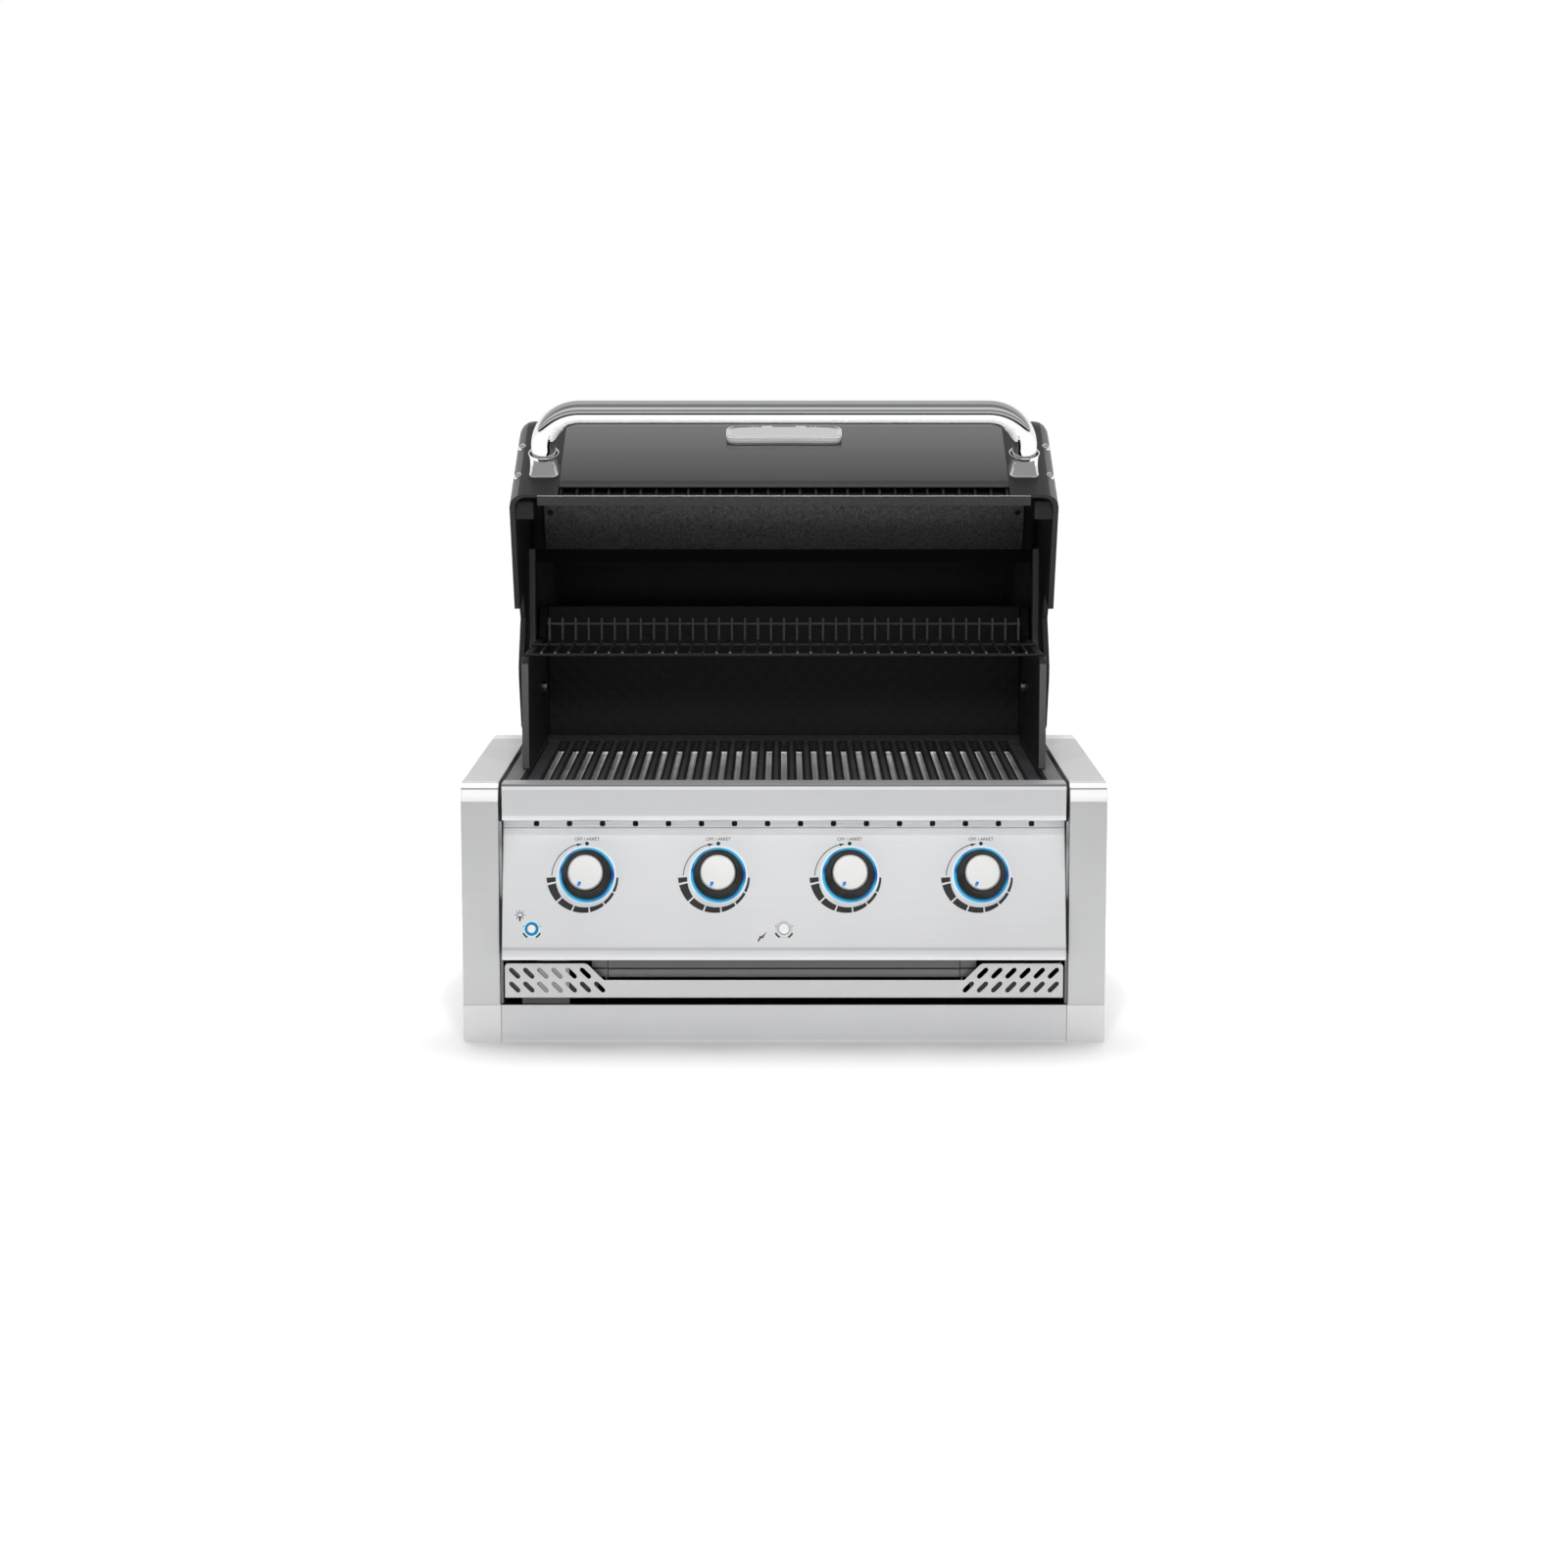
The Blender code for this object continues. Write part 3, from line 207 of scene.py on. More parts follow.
seen = mixNode(tree, path["Is Camera Ray"], (*rgb(floorSet["colour"]), 1), (*rgb(floorSet["seen"]), 1))
setSocket(tree, shader["Base Color"], mixNode(tree, path["Is Glossy Ray"], seen, strip))
glow = mathNode(tree, "MULTIPLY", path["Is Camera Ray"], floorSet["glow"])
setSocket(tree, shader["Emission Strength"], glow)
floorMesh.materials.append(floorPaint)
print("camera, floor and light set")

# Finishes. A finish says only what differs from the standard one.

standard = dict(metallic=0.0, specular=0.5, roughness=0.5, wear=0.05, tone=0.1, grainScale=500.0,
                grainDetail=3.0, stretch=(1, 1, 1), cloud=0.0, cloudScale=7.0, cloudStretch=(1, 1, 1),
                bump=0.0, sockets={})


def makeFinish(name, look):
    look = {**standard, **look}
    material, tree, shader = newMaterial(name)
    for socket, value in look["sockets"].items():
        shader[socket].default_value = value
    shader["Metallic"].default_value = look["metallic"]
    shader["Specular IOR Level"].default_value = look["specular"]
    local = objectPlace(tree)

    def texture(scale, detail, stretch):
        place = addNode(tree, "ShaderNodeMapping", {"Vector": local, "Scale": stretch}).outputs["Vector"]
        inputs = {"Vector": place, "Scale": scale, "Detail": detail}
        return addNode(tree, "ShaderNodeTexNoise", inputs).outputs["Fac"]

    def spread(value, middle, half):
        return rangeNode(tree, value, 0.25, 0.75, middle - half, middle + half)

    grain = texture(look["grainScale"], look["grainDetail"], look["stretch"])
    cloud = texture(look["cloudScale"], 3.0, look["cloudStretch"])
    tone = mathNode(tree, "ADD", spread(grain, 0.0, look["tone"]), spread(cloud, 1.0, look["cloud"]))
    # byHeight and byDepth scale the colour by height or depth; the finishes use them for painted light and
    # shade
    for key, axis in (("byHeight", "Z"), ("byDepth", "Y")):
        if key not in look:
            continue
        low, high = look[key][0][0], look[key][-1][0]
        span = rangeNode(tree, splitNode(tree, local)[axis], low, high)
        stops = [((place - low) / (high - low), factor / 2) for place, factor in look[key]]
        tone = mathNode(tree, "MULTIPLY", mathNode(tree, "MULTIPLY", tone, 2.0), ramp(tree, span, stops))
    colour = vectorNode(tree, "SCALE", {0: rgb(look["colour"]), "Scale": tone})[0]
    setSocket(tree, shader["Base Color"], colour)
    setSocket(tree, shader["Roughness"], spread(grain, look["roughness"], look["wear"]))
    if look["bump"]:
        height = texture(look["bumpScale"], 2.0, look["stretch"])
        addBump(tree, shader, look["bump"], look["bumpDepth"], height)
    return material


acrossGrain = (0.006, 1.0, 1.0)  # brush lines run along the width
upGrain = (1.0, 1.0, 0.02)
brushed = dict(metallic=0.62, roughness=0.34, wear=0.04, tone=0.022, grainScale=1500.0, stretch=acrossGrain,
               cloud=0.012, cloudScale=9.0, cloudStretch=(0.25, 1, 1), bump=0.05, bumpScale=2200.0,
               bumpDepth=0.0002)
textured = dict(grainScale=700.0, bump=0.3, bumpScale=1100.0, bumpDepth=0.0003)
iron = dict(roughness=0.46, wear=0.08, tone=0.25, cloud=0.2, bump=0.4, bumpScale=800.0, bumpDepth=0.0004)
finishes = {
    "trimSteel": dict(brushed, colour=(0.562, 0.565, 0.57)),
    # trim tops in front of the rear band: a darker copy of the steel, painted shade that offsets the top
    # light
    "trimTopShadedSteel": dict(brushed, colour=(0.405, 0.408, 0.412), metallic=0.4),
    "bandSteel": dict(brushed, colour=0.64, metallic=0.3),
    # The panel's colour is painted by height: a painted shade line along the lower fold at about 0.12 m, the
    # flange under it a little darker, and painted light at the top that offsets the vent strip's shadow
    "panelSteel": dict(brushed, colour=(0.86, 0.865, 0.875), byHeight=(
        (0.107, 0.957), (0.1185, 0.957), (0.1202, 0.74), (0.1212, 0.68), (0.1226, 0.9), (0.125, 1.0),
        (0.25, 1.0), (0.258, 1.05), (0.265, 1.1))),
    # The fascia's colour is painted by height: painted highlights along the lower fold and under the top
    # edge, and a painted shade line at the top edge
    "fasciaSteel": dict(brushed, colour=(0.64, 0.645, 0.655), byHeight=(
        (0.277, 0.95), (0.279, 1.3), (0.2826, 1.3), (0.284, 1.0), (0.315, 1.0), (0.316, 1.22),
        (0.319, 1.3), (0.3199, 0.6), (0.3207, 0.25), (0.3216, 0.4), (0.323, 0.55))),
    # the fascia's top ledge: a darker copy of its steel, painted shade
    "ledgeShadedSteel": dict(brushed, colour=(0.3, 0.3, 0.31), metallic=0.35, roughness=0.42),
    # The plinth is painted lighter towards the bottom, offsetting the shade where it meets the floor, with a
    # painted highlight along the bottom edge
    "plinthSteel": dict(brushed, colour=(0.612, 0.616, 0.624), byHeight=(
        (0.0, 1.5), (0.0018, 1.45), (0.0036, 1.26), (0.01, 1.18), (0.02, 1.08), (0.047, 0.98))),
    "railSteel": dict(brushed, colour=(0.577, 0.581, 0.587)),
    # The tray front's colour is painted by height: a painted shade line at 0.089 to 0.091 m where its two
    # planes meet, the lower plane painted lighter than the upper, as lit differently
    "traySteel": dict(brushed, colour=(0.2, 0.2, 0.205), stretch=upGrain, byHeight=(
        (0.079, 0.9), (0.0885, 0.9), (0.0893, 0.04), (0.0907, 0.04), (0.0915, 0.72), (0.105, 0.62))),
    "stripSteel": dict(colour=(0.695, 0.715, 0.728), metallic=0.3, roughness=0.3, tone=0.01, grainScale=900.0,
                       stretch=acrossGrain),
    # the nose's colour holds painted reflection bands by height: a painted highlight band, a dark line and a
    # bright band under it
    "noseReflectionSteel": dict(colour=(0.7, 0.7, 0.705), metallic=0.2, roughness=0.22, wear=0.02, tone=0.006,
                      grainScale=600.0, stretch=acrossGrain, byHeight=(
        (0.301, 0.98), (0.3035, 1.0), (0.3056, 1.0), (0.3146, 1.0), (0.3155, 0.4), (0.316, 0.2),
        (0.3166, 0.4), (0.3178, 1.08), (0.3212, 1.08), (0.3219, 0.62), (0.323, 0.62))),
    "panSteel": dict(colour=(0.36, 0.37, 0.38), metallic=0.9, roughness=0.36, tone=0.05, cloud=0.05,
                     stretch=upGrain),
    "plateChrome": dict(colour=0.95, metallic=0.45, roughness=0.18, wear=0.02, tone=0.006, grainScale=60.0),
    "chrome": dict(colour=(0.88, 0.885, 0.89), metallic=1.0, roughness=0.035, wear=0.01, tone=0.01,
                   grainScale=60.0),
    "footGrey": dict(colour=0.68, roughness=0.45, tone=0.012, cloud=0.01, grainScale=300.0, bump=0.05,
                     bumpScale=1500.0, bumpDepth=0.0002),
    "hoodEnamel": dict(colour=(0.01, 0.01, 0.011), roughness=0.12, wear=0.02, grainScale=50.0, bump=0.02,
                       bumpScale=120.0, bumpDepth=0.0004,
                       sockets={"Coat Weight": 0.8, "Coat Roughness": 0.05, "IOR": 1.6}),
    "castBlack": dict(textured, colour=(0.013, 0.013, 0.014), roughness=0.46, tone=0.15, specular=0.32),
    # a lighter copy of the caps' black for their upward slanted sides, painted light
    "capSideLit": dict(textured, colour=0.06, roughness=0.42, tone=0.12),
    "blockGrey": dict(colour=0.012, specular=0.2),
    # a darker black for the hinge frame deep in the hood, painted shade
    "paintedShadeBlack": dict(colour=0.0022, roughness=0.55, specular=0.06),
    "wallBlack": dict(colour=0.0068, tone=0.15, specular=0.3),
    # black sheet, also put on the plinth's top ledge as painted shade
    "blackSheetAndShade": dict(colour=0.0045, tone=0.15, bump=0.15, bumpScale=900.0, bumpDepth=0.0002, specular=0.25),
    # The liner's colour is painted by height, as painted light and shade: near black low down in the hood,
    # lighter up to 0.65 m, and darker above that
    "linerEnamel": dict(colour=(0.058, 0.057, 0.057), roughness=0.4, wear=0.1, tone=0.75, grainScale=340.0,
                        grainDetail=2.0, bump=0.8, bumpScale=400.0, bumpDepth=0.0008, byHeight=(
        (0.3, 0.02), (0.56, 0.02), (0.574, 0.55), (0.581, 0.65), (0.606, 1.15), (0.633, 1.7), (0.65, 1.7),
        (0.653, 0.2), (0.6655, 0.2), (0.78, 0.2))),
    # a painted highlight along the liner's rim
    "rimHighlight": dict(colour=0.4, metallic=0.3, roughness=0.4, tone=0.15, grainScale=400.0),
    "backingSteel": dict(colour=(0.06, 0.06, 0.062), metallic=0.2, roughness=0.4, grainScale=120.0,
                         stretch=(1.0, 1.0, 0.3)),
    # The trim flanges' brightness is painted by height as painted light and shade, darkest between 0.114 and
    # 0.178 m
    "flangeSteel": dict(colour=(0.3, 0.305, 0.31), metallic=0.3, roughness=0.35, tone=0.05, grainScale=200.0,
                        byHeight=((0.048, 0.5), (0.11, 0.6), (0.114, 0.05), (0.178, 0.05), (0.186, 0.7),
                                  (0.235, 1.0), (0.25, 0.6), (0.276, 1.0))),
    "rimSilver": dict(colour=0.4, metallic=0.85, roughness=0.22, tone=0.01, grainScale=400.0),
    # a pale ring round each knob's light ring, painted glow from the ring's light
    "haloPale": dict(colour=(0.8, 0.83, 0.86), tone=0.005, grainScale=400.0),
    # a lighter grey for the front faces of the castings and the hinge frame's arms, painted light
    "paintedLitGrey": dict(colour=0.05, roughness=0.45, tone=0.12),
    # the brackets' fronts, painted darker as a painted reflection
    "bracketFrontReflection": dict(colour=(0.21, 0.21, 0.215), metallic=0.15, roughness=0.45, tone=0.01,
                          grainScale=200.0),
    # a band on the handle's lower front, a painted reflection of the floor
    "chromeFloorReflection": dict(colour=(0.85, 0.85, 0.86), metallic=0.1, roughness=0.25, tone=0.005, grainScale=60.0),
    "bracketSteel": dict(colour=(0.27, 0.27, 0.275), metallic=0.2, roughness=0.4, tone=0.03,
                         grainScale=300.0),
    "wireBlack": dict(colour=0.012, roughness=0.42, tone=0.15, grainScale=400.0, specular=0.25),
    # the rack's upright fence wires: a lighter copy of the wire's black, painted light
    "fenceLitBlack": dict(colour=0.02, roughness=0.4, tone=0.15, grainScale=400.0),
    # painted highlights on the front ends of the rack's wires
    "tipHighlight": dict(colour=0.055, roughness=0.4, grainScale=400.0),
    "castIron": dict(iron, colour=(0.0115, 0.012, 0.013)),
    # the grid bars' tops: a lighter copy of the iron, painted light
    "ironTopLit": dict(iron, colour=(0.038, 0.039, 0.041)),
    "castGrey": dict(colour=(0.1, 0.1, 0.105), metallic=0.5, wear=0.06, bump=0.3, bumpScale=900.0,
                     bumpDepth=0.0003),
    # The tents' colour is painted by depth: painted light that grows from the front to the rear
    "tentSteel": dict(colour=(0.92, 0.92, 0.91), metallic=0.1, roughness=0.45, wear=0.1, tone=0.06,
                      cloud=0.18, cloudScale=18.0, cloudStretch=(1.0, 0.5, 1.0), grainScale=200.0, byDepth=(
        (-0.1, 0.36), (0.02, 0.4), (0.1, 0.56), (0.17, 0.78), (0.225, 1.0), (0.26, 1.06))),
    "pipeSteel": dict(colour=(0.55, 0.55, 0.56), metallic=1.0, roughness=0.25, tone=0.05, grainScale=300.0),
    "valveBrass": dict(colour=(0.62, 0.44, 0.16), metallic=1.0, roughness=0.28, tone=0.08, grainScale=300.0),
    "knobBlack": dict(colour=0.006, roughness=0.42, tone=0.15, grainScale=900.0, specular=0.22),
    "knobSilver": dict(colour=(0.66, 0.655, 0.65), metallic=0.25, roughness=0.35, wear=0.03, tone=0.008,
                       cloudScale=30.0, cloud=0.02, grainScale=900.0),
    "buttonWhite": dict(colour=(0.7, 0.705, 0.71), metallic=0.1, roughness=0.25, tone=0.01, grainScale=300.0),
    "satinSilver": dict(colour=(0.8, 0.8, 0.81), metallic=0.6, roughness=0.2, tone=0.01, grainScale=400.0),
    "printBlack": dict(colour=(0.022, 0.021, 0.021), roughness=0.6, grainScale=900.0),
    "printGrey": dict(colour=(0.045, 0.044, 0.044), roughness=0.6, grainScale=900.0),
}
materials = {name: makeFinish(name, look) for name, look in finishes.items()}


# A lit piece's own paint is a dim copy of its light
def setGlow(tree, shader, colour, strength, roughness):
    setSocket(tree, shader["Emission Color"], colour)
    shader["Emission Strength"].default_value = strength
    shader["Roughness"].default_value = roughness
    setSocket(tree, shader["Base Color"], vectorNode(tree, "SCALE", {0: colour, "Scale": 0.25})[0])


# Light whose colour goes by the distance from a centre
def makeGlow(name, stops, strength, centre, reach):
    material, tree, shader = newMaterial(name)
    inputs = {"Vector": objectPlace(tree), "Location": [-value for value in centre]}
    away = addNode(tree, "ShaderNodeMapping", inputs).outputs["Vector"]
    length = vectorNode(tree, "LENGTH", {0: away})["Value"]
    setGlow(tree, shader, ramp(tree, rangeNode(tree, length, *reach), stops), strength, 0.3)
    return material


# Crossed fine grooves on the rear wall
hatchSet = {"scale": 18.0, "depth": 0.0006, "strength": 0.6}
tree = materials["wallBlack"].node_tree
place = objectPlace(tree)
waves = []
for turn in (45, -45):
    inputs = {"Vector": place, "Rotation": (0, radians(turn), 0)}
    turned = addNode(tree, "ShaderNodeMapping", inputs).outputs["Vector"]
    inputs = {"Vector": turned, "Scale": hatchSet["scale"], "Distortion": 0.0}
    waves.append(addNode(tree, "ShaderNodeTexWave", inputs, bands_direction="X").outputs["Fac"])
addBump(tree, tree.nodes["Principled BSDF"].inputs, hatchSet["strength"], hatchSet["depth"],
        mathNode(tree, "MAXIMUM", *waves))
print("finishes made:", len(materials))

# Making and finishing pieces

near = 0.0001

def addPiece(name, shape, finish, body, replaced=(), smoothAngle=35, facing=None, thickness=0.0):
    mesh = bpy.data.meshes.new(name)
    if facing is None:
        bmesh.ops.recalc_face_normals(shape, faces=shape.faces)
    shape.to_mesh(mesh)
    shape.free()
    mesh.shade_smooth()
    mesh.set_sharp_from_angle(angle=radians(smoothAngle))
    for entry in finish if isinstance(finish, list) else [finish]:
        mesh.materials.append(materials[entry] if isinstance(entry, str) else entry)
    piece = linkObject(name, mesh)
    if thickness:
        wall = piece.modifiers.new("wall", "SOLIDIFY")
        wall.thickness = thickness
        wall.offset = -1.0
        wall.use_even_offset = True
    flat = piece.modifiers.new("flatFaces", "WEIGHTED_NORMAL")
    flat.keep_sharp = True
    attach(piece, body)
    if replaced:
        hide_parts(*replaced)


def vertsOf(items):
    return [item for item in items if isinstance(item, bmesh.types.BMVert)]


def edgesOf(items):
    return [item for item in items if isinstance(item, bmesh.types.BMEdge)]


# The edges that lie along the width at one depth and height
def edgesAt(shape, depth, height):
    return [edge for edge in shape.edges
            if all(abs(vert.co.y - depth) < near and abs(vert.co.z - height) < near for vert in edge.verts)]


def moveShape(shape, place):
    bmesh.ops.transform(shape, matrix=place, verts=shape.verts)


def paintFaces(shape, number, test):
    for face in shape.faces:
        if test(face):
            face.material_index = number


def bevelEdges(shape, edges, width, segments, clamp=False):
    bmesh.ops.bevel(shape, geom=edges, offset=width, offset_type="OFFSET", segments=segments, profile=0.5,
                    affect="EDGES", clamp_overlap=clamp, material=-1)


def bevelSharp(shape, width, segments=2):
    edges = [edge for edge in shape.edges
             if len(edge.link_faces) == 2 and edge.calc_face_angle(0) > radians(35)]
    bevelEdges(shape, edges, width, segments, clamp=True)


def cutShape(shape, place, normal):
    bmesh.ops.bisect_plane(shape, geom=shape.verts[:] + shape.edges[:] + shape.faces[:], plane_co=place,
                           plane_no=normal, dist=0.00001)


# Paint holds the further finishes with the test that picks their faces
def dressNode(node, name, finish, body, bevel=0.0, paint=()):
    shape = bmesh.new()
    shape.from_mesh(nodes[node].data)
    bmesh.ops.remove_doubles(shape, verts=shape.verts, dist=0.00002)
    bmesh.ops.dissolve_limit(shape, angle_limit=radians(0.5), verts=shape.verts, edges=shape.edges)
    if bevel:
        bevelSharp(shape, bevel)
    for face in shape.faces:
        face.material_index = 0
    for number, (extra, test) in enumerate(paint, 1):
        paintFaces(shape, number, test)
    addPiece(name, shape, [finish] + [extra for extra, test in paint], body, (node,), facing="kept")


def boxShape(shape, first, second):
    low, high = (Vector([pick(pair) for pair in zip(first, second)]) for pick in (min, max))
    made = bmesh.ops.create_cube(shape, size=1.0)["verts"]
    bmesh.ops.scale(shape, vec=high - low, verts=made)
    bmesh.ops.translate(shape, vec=(low + high) / 2, verts=made)


def spinShape(shape, profile, steps):
    before = set(shape.verts)
    verts = [shape.verts.new((radius, 0, height)) for radius, height in profile]
    edges = [shape.edges.new(pair) for pair in zip(verts, verts[1:])]
    if profile[0][0] > 0:
        edges.append(shape.edges.new((verts[-1], verts[0])))
    bmesh.ops.spin(shape, geom=verts + edges, cent=(0, 0, 0), axis=(0, 0, 1), angle=2 * pi, steps=steps,
                   use_merge=True)
    made = [vert for vert in shape.verts if vert not in before]
    bmesh.ops.remove_doubles(shape, verts=made, dist=0.000002)
    return [vert for vert in shape.verts if vert not in before]


def ringShape(shape, segments, halfA, halfB, height, power):
    made = bmesh.ops.create_circle(shape, segments=segments, radius=1.0)["verts"]
    for vert in made:
        a, b = vert.co.x, vert.co.y
        vert.co = (halfA * abs(a) ** (2 / power) * (1 if a > 0 else -1),
                   halfB * abs(b) ** (2 / power) * (1 if b > 0 else -1), height)
    return [edge for edge in shape.edges if edge.verts[0] in made and edge.verts[1] in made]


def closeRing(shape, ring):
    bmesh.ops.contextual_create(shape, geom=ring)


def stackRings(shape, rings, segments):
    loops = [ringShape(shape, segments, *ring) for ring in rings]
    for first, second in zip(loops, loops[1:]):
        bmesh.ops.bridge_loops(shape, edges=first + second)
    closeRing(shape, loops[0])
    closeRing(shape, loops[-1])


def pipeStart(shape, place, direction, radius, segments):
    turn = Vector(direction).to_track_quat("Z", "Y").to_matrix().to_4x4()
    made = bmesh.ops.create_circle(shape, segments=segments, radius=radius,
                                   matrix=Matrix.Translation(Vector(place)) @ turn)["verts"]
    ring = [edge for edge in shape.edges if edge.verts[0] in made and edge.verts[1] in made]
    closeRing(shape, ring)
    return ring


def extrudeBy(shape, edges, vector):
    grown = bmesh.ops.extrude_edge_only(shape, edges=edges)["geom"]
    bmesh.ops.translate(shape, vec=vector, verts=vertsOf(grown))
    return edgesOf(grown)


def pipeBend(shape, ring, centre, axis, steps):
    bent = bmesh.ops.spin(shape, geom=ring, cent=centre, axis=axis, angle=radians(90), steps=steps)
    return edgesOf(bent["geom_last"])


def addRod(shape, place, run, radius, segments):
    closeRing(shape, extrudeBy(shape, pipeStart(shape, place, (1, 0, 0), radius, segments), (run, 0, 0)))


def liftFaces(shape, faces, vector):
    grown = bmesh.ops.extrude_face_region(shape, geom=faces)["geom"]
    bmesh.ops.translate(shape, vec=vector, verts=vertsOf(grown))


def prismShape(shape, corners, run):
    liftFaces(shape, [shape.faces.new([shape.verts.new(corner) for corner in corners])], run)


def hoodPoint(x, depth, rise):
    return Vector((x, trimFront + depth, trimTop + rise))


def closedPoint(place):
    return Matrix.Rotation(-openAngle, 3, "X") @ (place - pivot) + pivot


def openHood(shape):
    bmesh.ops.rotate(shape, cent=pivot, matrix=Matrix.Rotation(openAngle, 3, "X"), verts=shape.verts)


# Side trims, foot caps and plinth

trimSet = {"nose": 0.022, "noseSteps": 16, "edge": 0.0012, "gauge": 0.0012, "bandDepth": 0.041}
for side in ("left", "right"):
    low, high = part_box("side_trim_" + side)
    shape = bmesh.new()
    boxShape(shape, low, high)
    gone = [face for face in shape.faces if face.normal.z < -0.5 or face.normal.y > 0.5]
    bmesh.ops.delete(shape, geom=gone, context="FACES")
    rear = high.y - trimSet["bandDepth"]
    cutShape(shape, (0, rear, 0), (0, 1, 0))
    bevelEdges(shape, edgesAt(shape, low.y, high.z), trimSet["nose"], trimSet["noseSteps"])
    edges = [edge for edge in shape.edges if len(edge.link_faces) == 2
             and abs(edge.link_faces[0].normal.x) + abs(edge.link_faces[1].normal.x) > 0.9
             and edge.calc_face_angle(0) > radians(60)]
    bevelEdges(shape, edges, trimSet["edge"], 3)
    for face in shape.faces:
        middle = face.calc_center_median()
        # The nose gets painted reflection bands
        if middle.z > high.z - trimSet["nose"] and middle.y < low.y + trimSet["nose"]:
            face.material_index = 1
        # The top in front of the rear band is painted darker, as painted shade against the top light
        elif face.normal.z > 0.5:
            face.material_index = 2 if middle.y > rear else 3
    addPiece("trim_" + side, shape, ["trimSteel", "noseReflectionSteel", "bandSteel", "trimTopShadedSteel"], fixedBody,
             ("side_trim_" + side,), smoothAngle=40, facing="kept",
             thickness=trimSet["gauge"])

footSet = {"edge": 0.0012, "gauge": 0.0024}
for side in ("left", "right"):
    low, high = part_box("foot_cap_" + side)
    shape = bmesh.new()
    boxShape(shape, low, high)
    bmesh.ops.delete(shape, geom=[face for face in shape.faces if face.normal.z < -0.5], context="FACES")
    bevelSharp(shape, footSet["edge"], 3)
    addPiece("footCap_" + side, shape, "footGrey", fixedBody, ("foot_cap_" + side,),
             facing="kept", thickness=footSet["gauge"])

# Sheets and castings that keep the CAD shape, with fine edges: node, piece, finish, slot, edge
sheets = (
    ("plinth_panel", "plinth", "plinthSteel", "brushed_steel", 0.0005),
    ("base_pan", "pan", "panSteel", "brushed_steel", 0.0),
    ("front_fascia", "fascia", "fasciaSteel", "brushed_steel", 0.0003),
    ("vent_strip", "ventStrip", "stripSteel", "brushed_steel", 0.0002),
    ("control_panel", "controlPanel", "panelSteel", "brushed_steel", 0.0004),
    ("lower_vent_rail", "lowerRail", "railSteel", "brushed_steel", 0.0003),
    ("tray_cradle", "trayCradle", "panSteel", "brushed_steel", 0.0),
    ("firebox", "cookBox", "castGrey", "grey_cast", 0.0),
    ("side_casting_left", "wallCasting_left", "castBlack", "black_cast", 0.0012),
    ("side_casting_right", "wallCasting_right", "castBlack", "black_cast", 0.0012),
    ("rear_wall", "rearWall", "wallBlack", "black_sheet", 0.0006),
    ("gas_manifold", "manifold", "pipeSteel", "polished_steel", 0.0),
)
# Front faces of the side castings are painted lighter, as painted light
litFrontPaint = (("paintedLitGrey", lambda face: face.normal.y < -0.9),)
# The fascia's top faces are painted darker, as painted shade
paints = {"front_fascia": (("ledgeShadedSteel", lambda face: face.normal.z > 0.9),),
          # The plinth's top ledge is painted black, as painted shade
          "plinth_panel": (("blackSheetAndShade", lambda face: face.normal.z > 0.9),),
          "side_casting_left": litFrontPaint,
          "side_casting_right": litFrontPaint,
          "firebox": (("castBlack", lambda face: face.calc_center_median().y > 0.2),)}
for node, name, finish, slot, bevel in sheets:
    dressNode(node, name, finish, fixedBody, bevel, paints.get(node, ()))

# Heat tents, with a lip at the rear and rails between them
tentSet = {"slope": 0.0018, "hem": 0.004, "bend": 0.0008, "gauge": 0.0012, "lip": 0.003, "rail": 0.0058,
           "railDeep": 0.006, "railDrop": 0.0005, "railEdge": 0.0003}
for number in range(1, 5):
    low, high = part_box("heat_tent_%d" % number)
    shape = bmesh.new()
    slope = tentSet["slope"]
    hemTop = low.z + tentSet["hem"]
    path = ((low.x, low.z), (low.x, hemTop), (low.x + slope, high.z), (high.x - slope, high.z),
            (high.x, hemTop), (high.x, low.z))
    verts = [shape.verts.new((x, low.y, z)) for x, z in path]
    edges = [shape.edges.new(pair) for pair in zip(verts, verts[1:])]
    extrudeBy(shape, edges, (0, high.y - low.y, 0))
    extrudeBy(shape, edgesAt(shape, high.y, high.z), (0, 0, tentSet["lip"]))
    bevelEdges(shape, [edge for edge in shape.edges if len(edge.link_faces) == 2], tentSet["bend"], 3)
    bmesh.ops.recalc_face_normals(shape, faces=shape.faces)
    if max(shape.faces, key=lambda face: face.calc_area()).normal.z < 0:
        bmesh.ops.reverse_faces(shape, faces=shape.faces)
    addPiece("heatTent_%d" % number, shape, "tentSteel", fixedBody,
             ("heat_tent_%d" % number,), facing="kept", thickness=tentSet["gauge"])
    dressNode("burner_%d" % number, "burnerTube_%d" % number, "pipeSteel", fixedBody)
    dressNode("gas_valve_%d" % number, "valve_%d" % number, "valveBrass", fixedBody)
    dressNode("valve_stem_%d" % number, "stem_%d" % number, "valveBrass", "valve_stem_%d" % number)
for number in range(1, 4):
    low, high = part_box("heat_tent_%d" % number)
    middle = (high.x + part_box("heat_tent_%d" % (number + 1))[0].x) / 2
    left, right = middle - tentSet["rail"], middle + tentSet["rail"]
    shape = bmesh.new()
    boxShape(shape, (left, low.y, high.z - tentSet["railDeep"]),
             (right, high.y, high.z - tentSet["railDrop"]))
    boxShape(shape, (left, high.y - tentSet["gauge"], high.z), (right, high.y, high.z + tentSet["lip"]))
    bevelSharp(shape, tentSet["railEdge"], 1)
    addPiece("tentRail_%d" % number, shape, "tentSteel", fixedBody)
dressNode("grease_tray", "greaseTray", "panSteel", "grease_tray", 0.0004,
          (("traySteel", lambda face: face.normal.y < -0.9),))

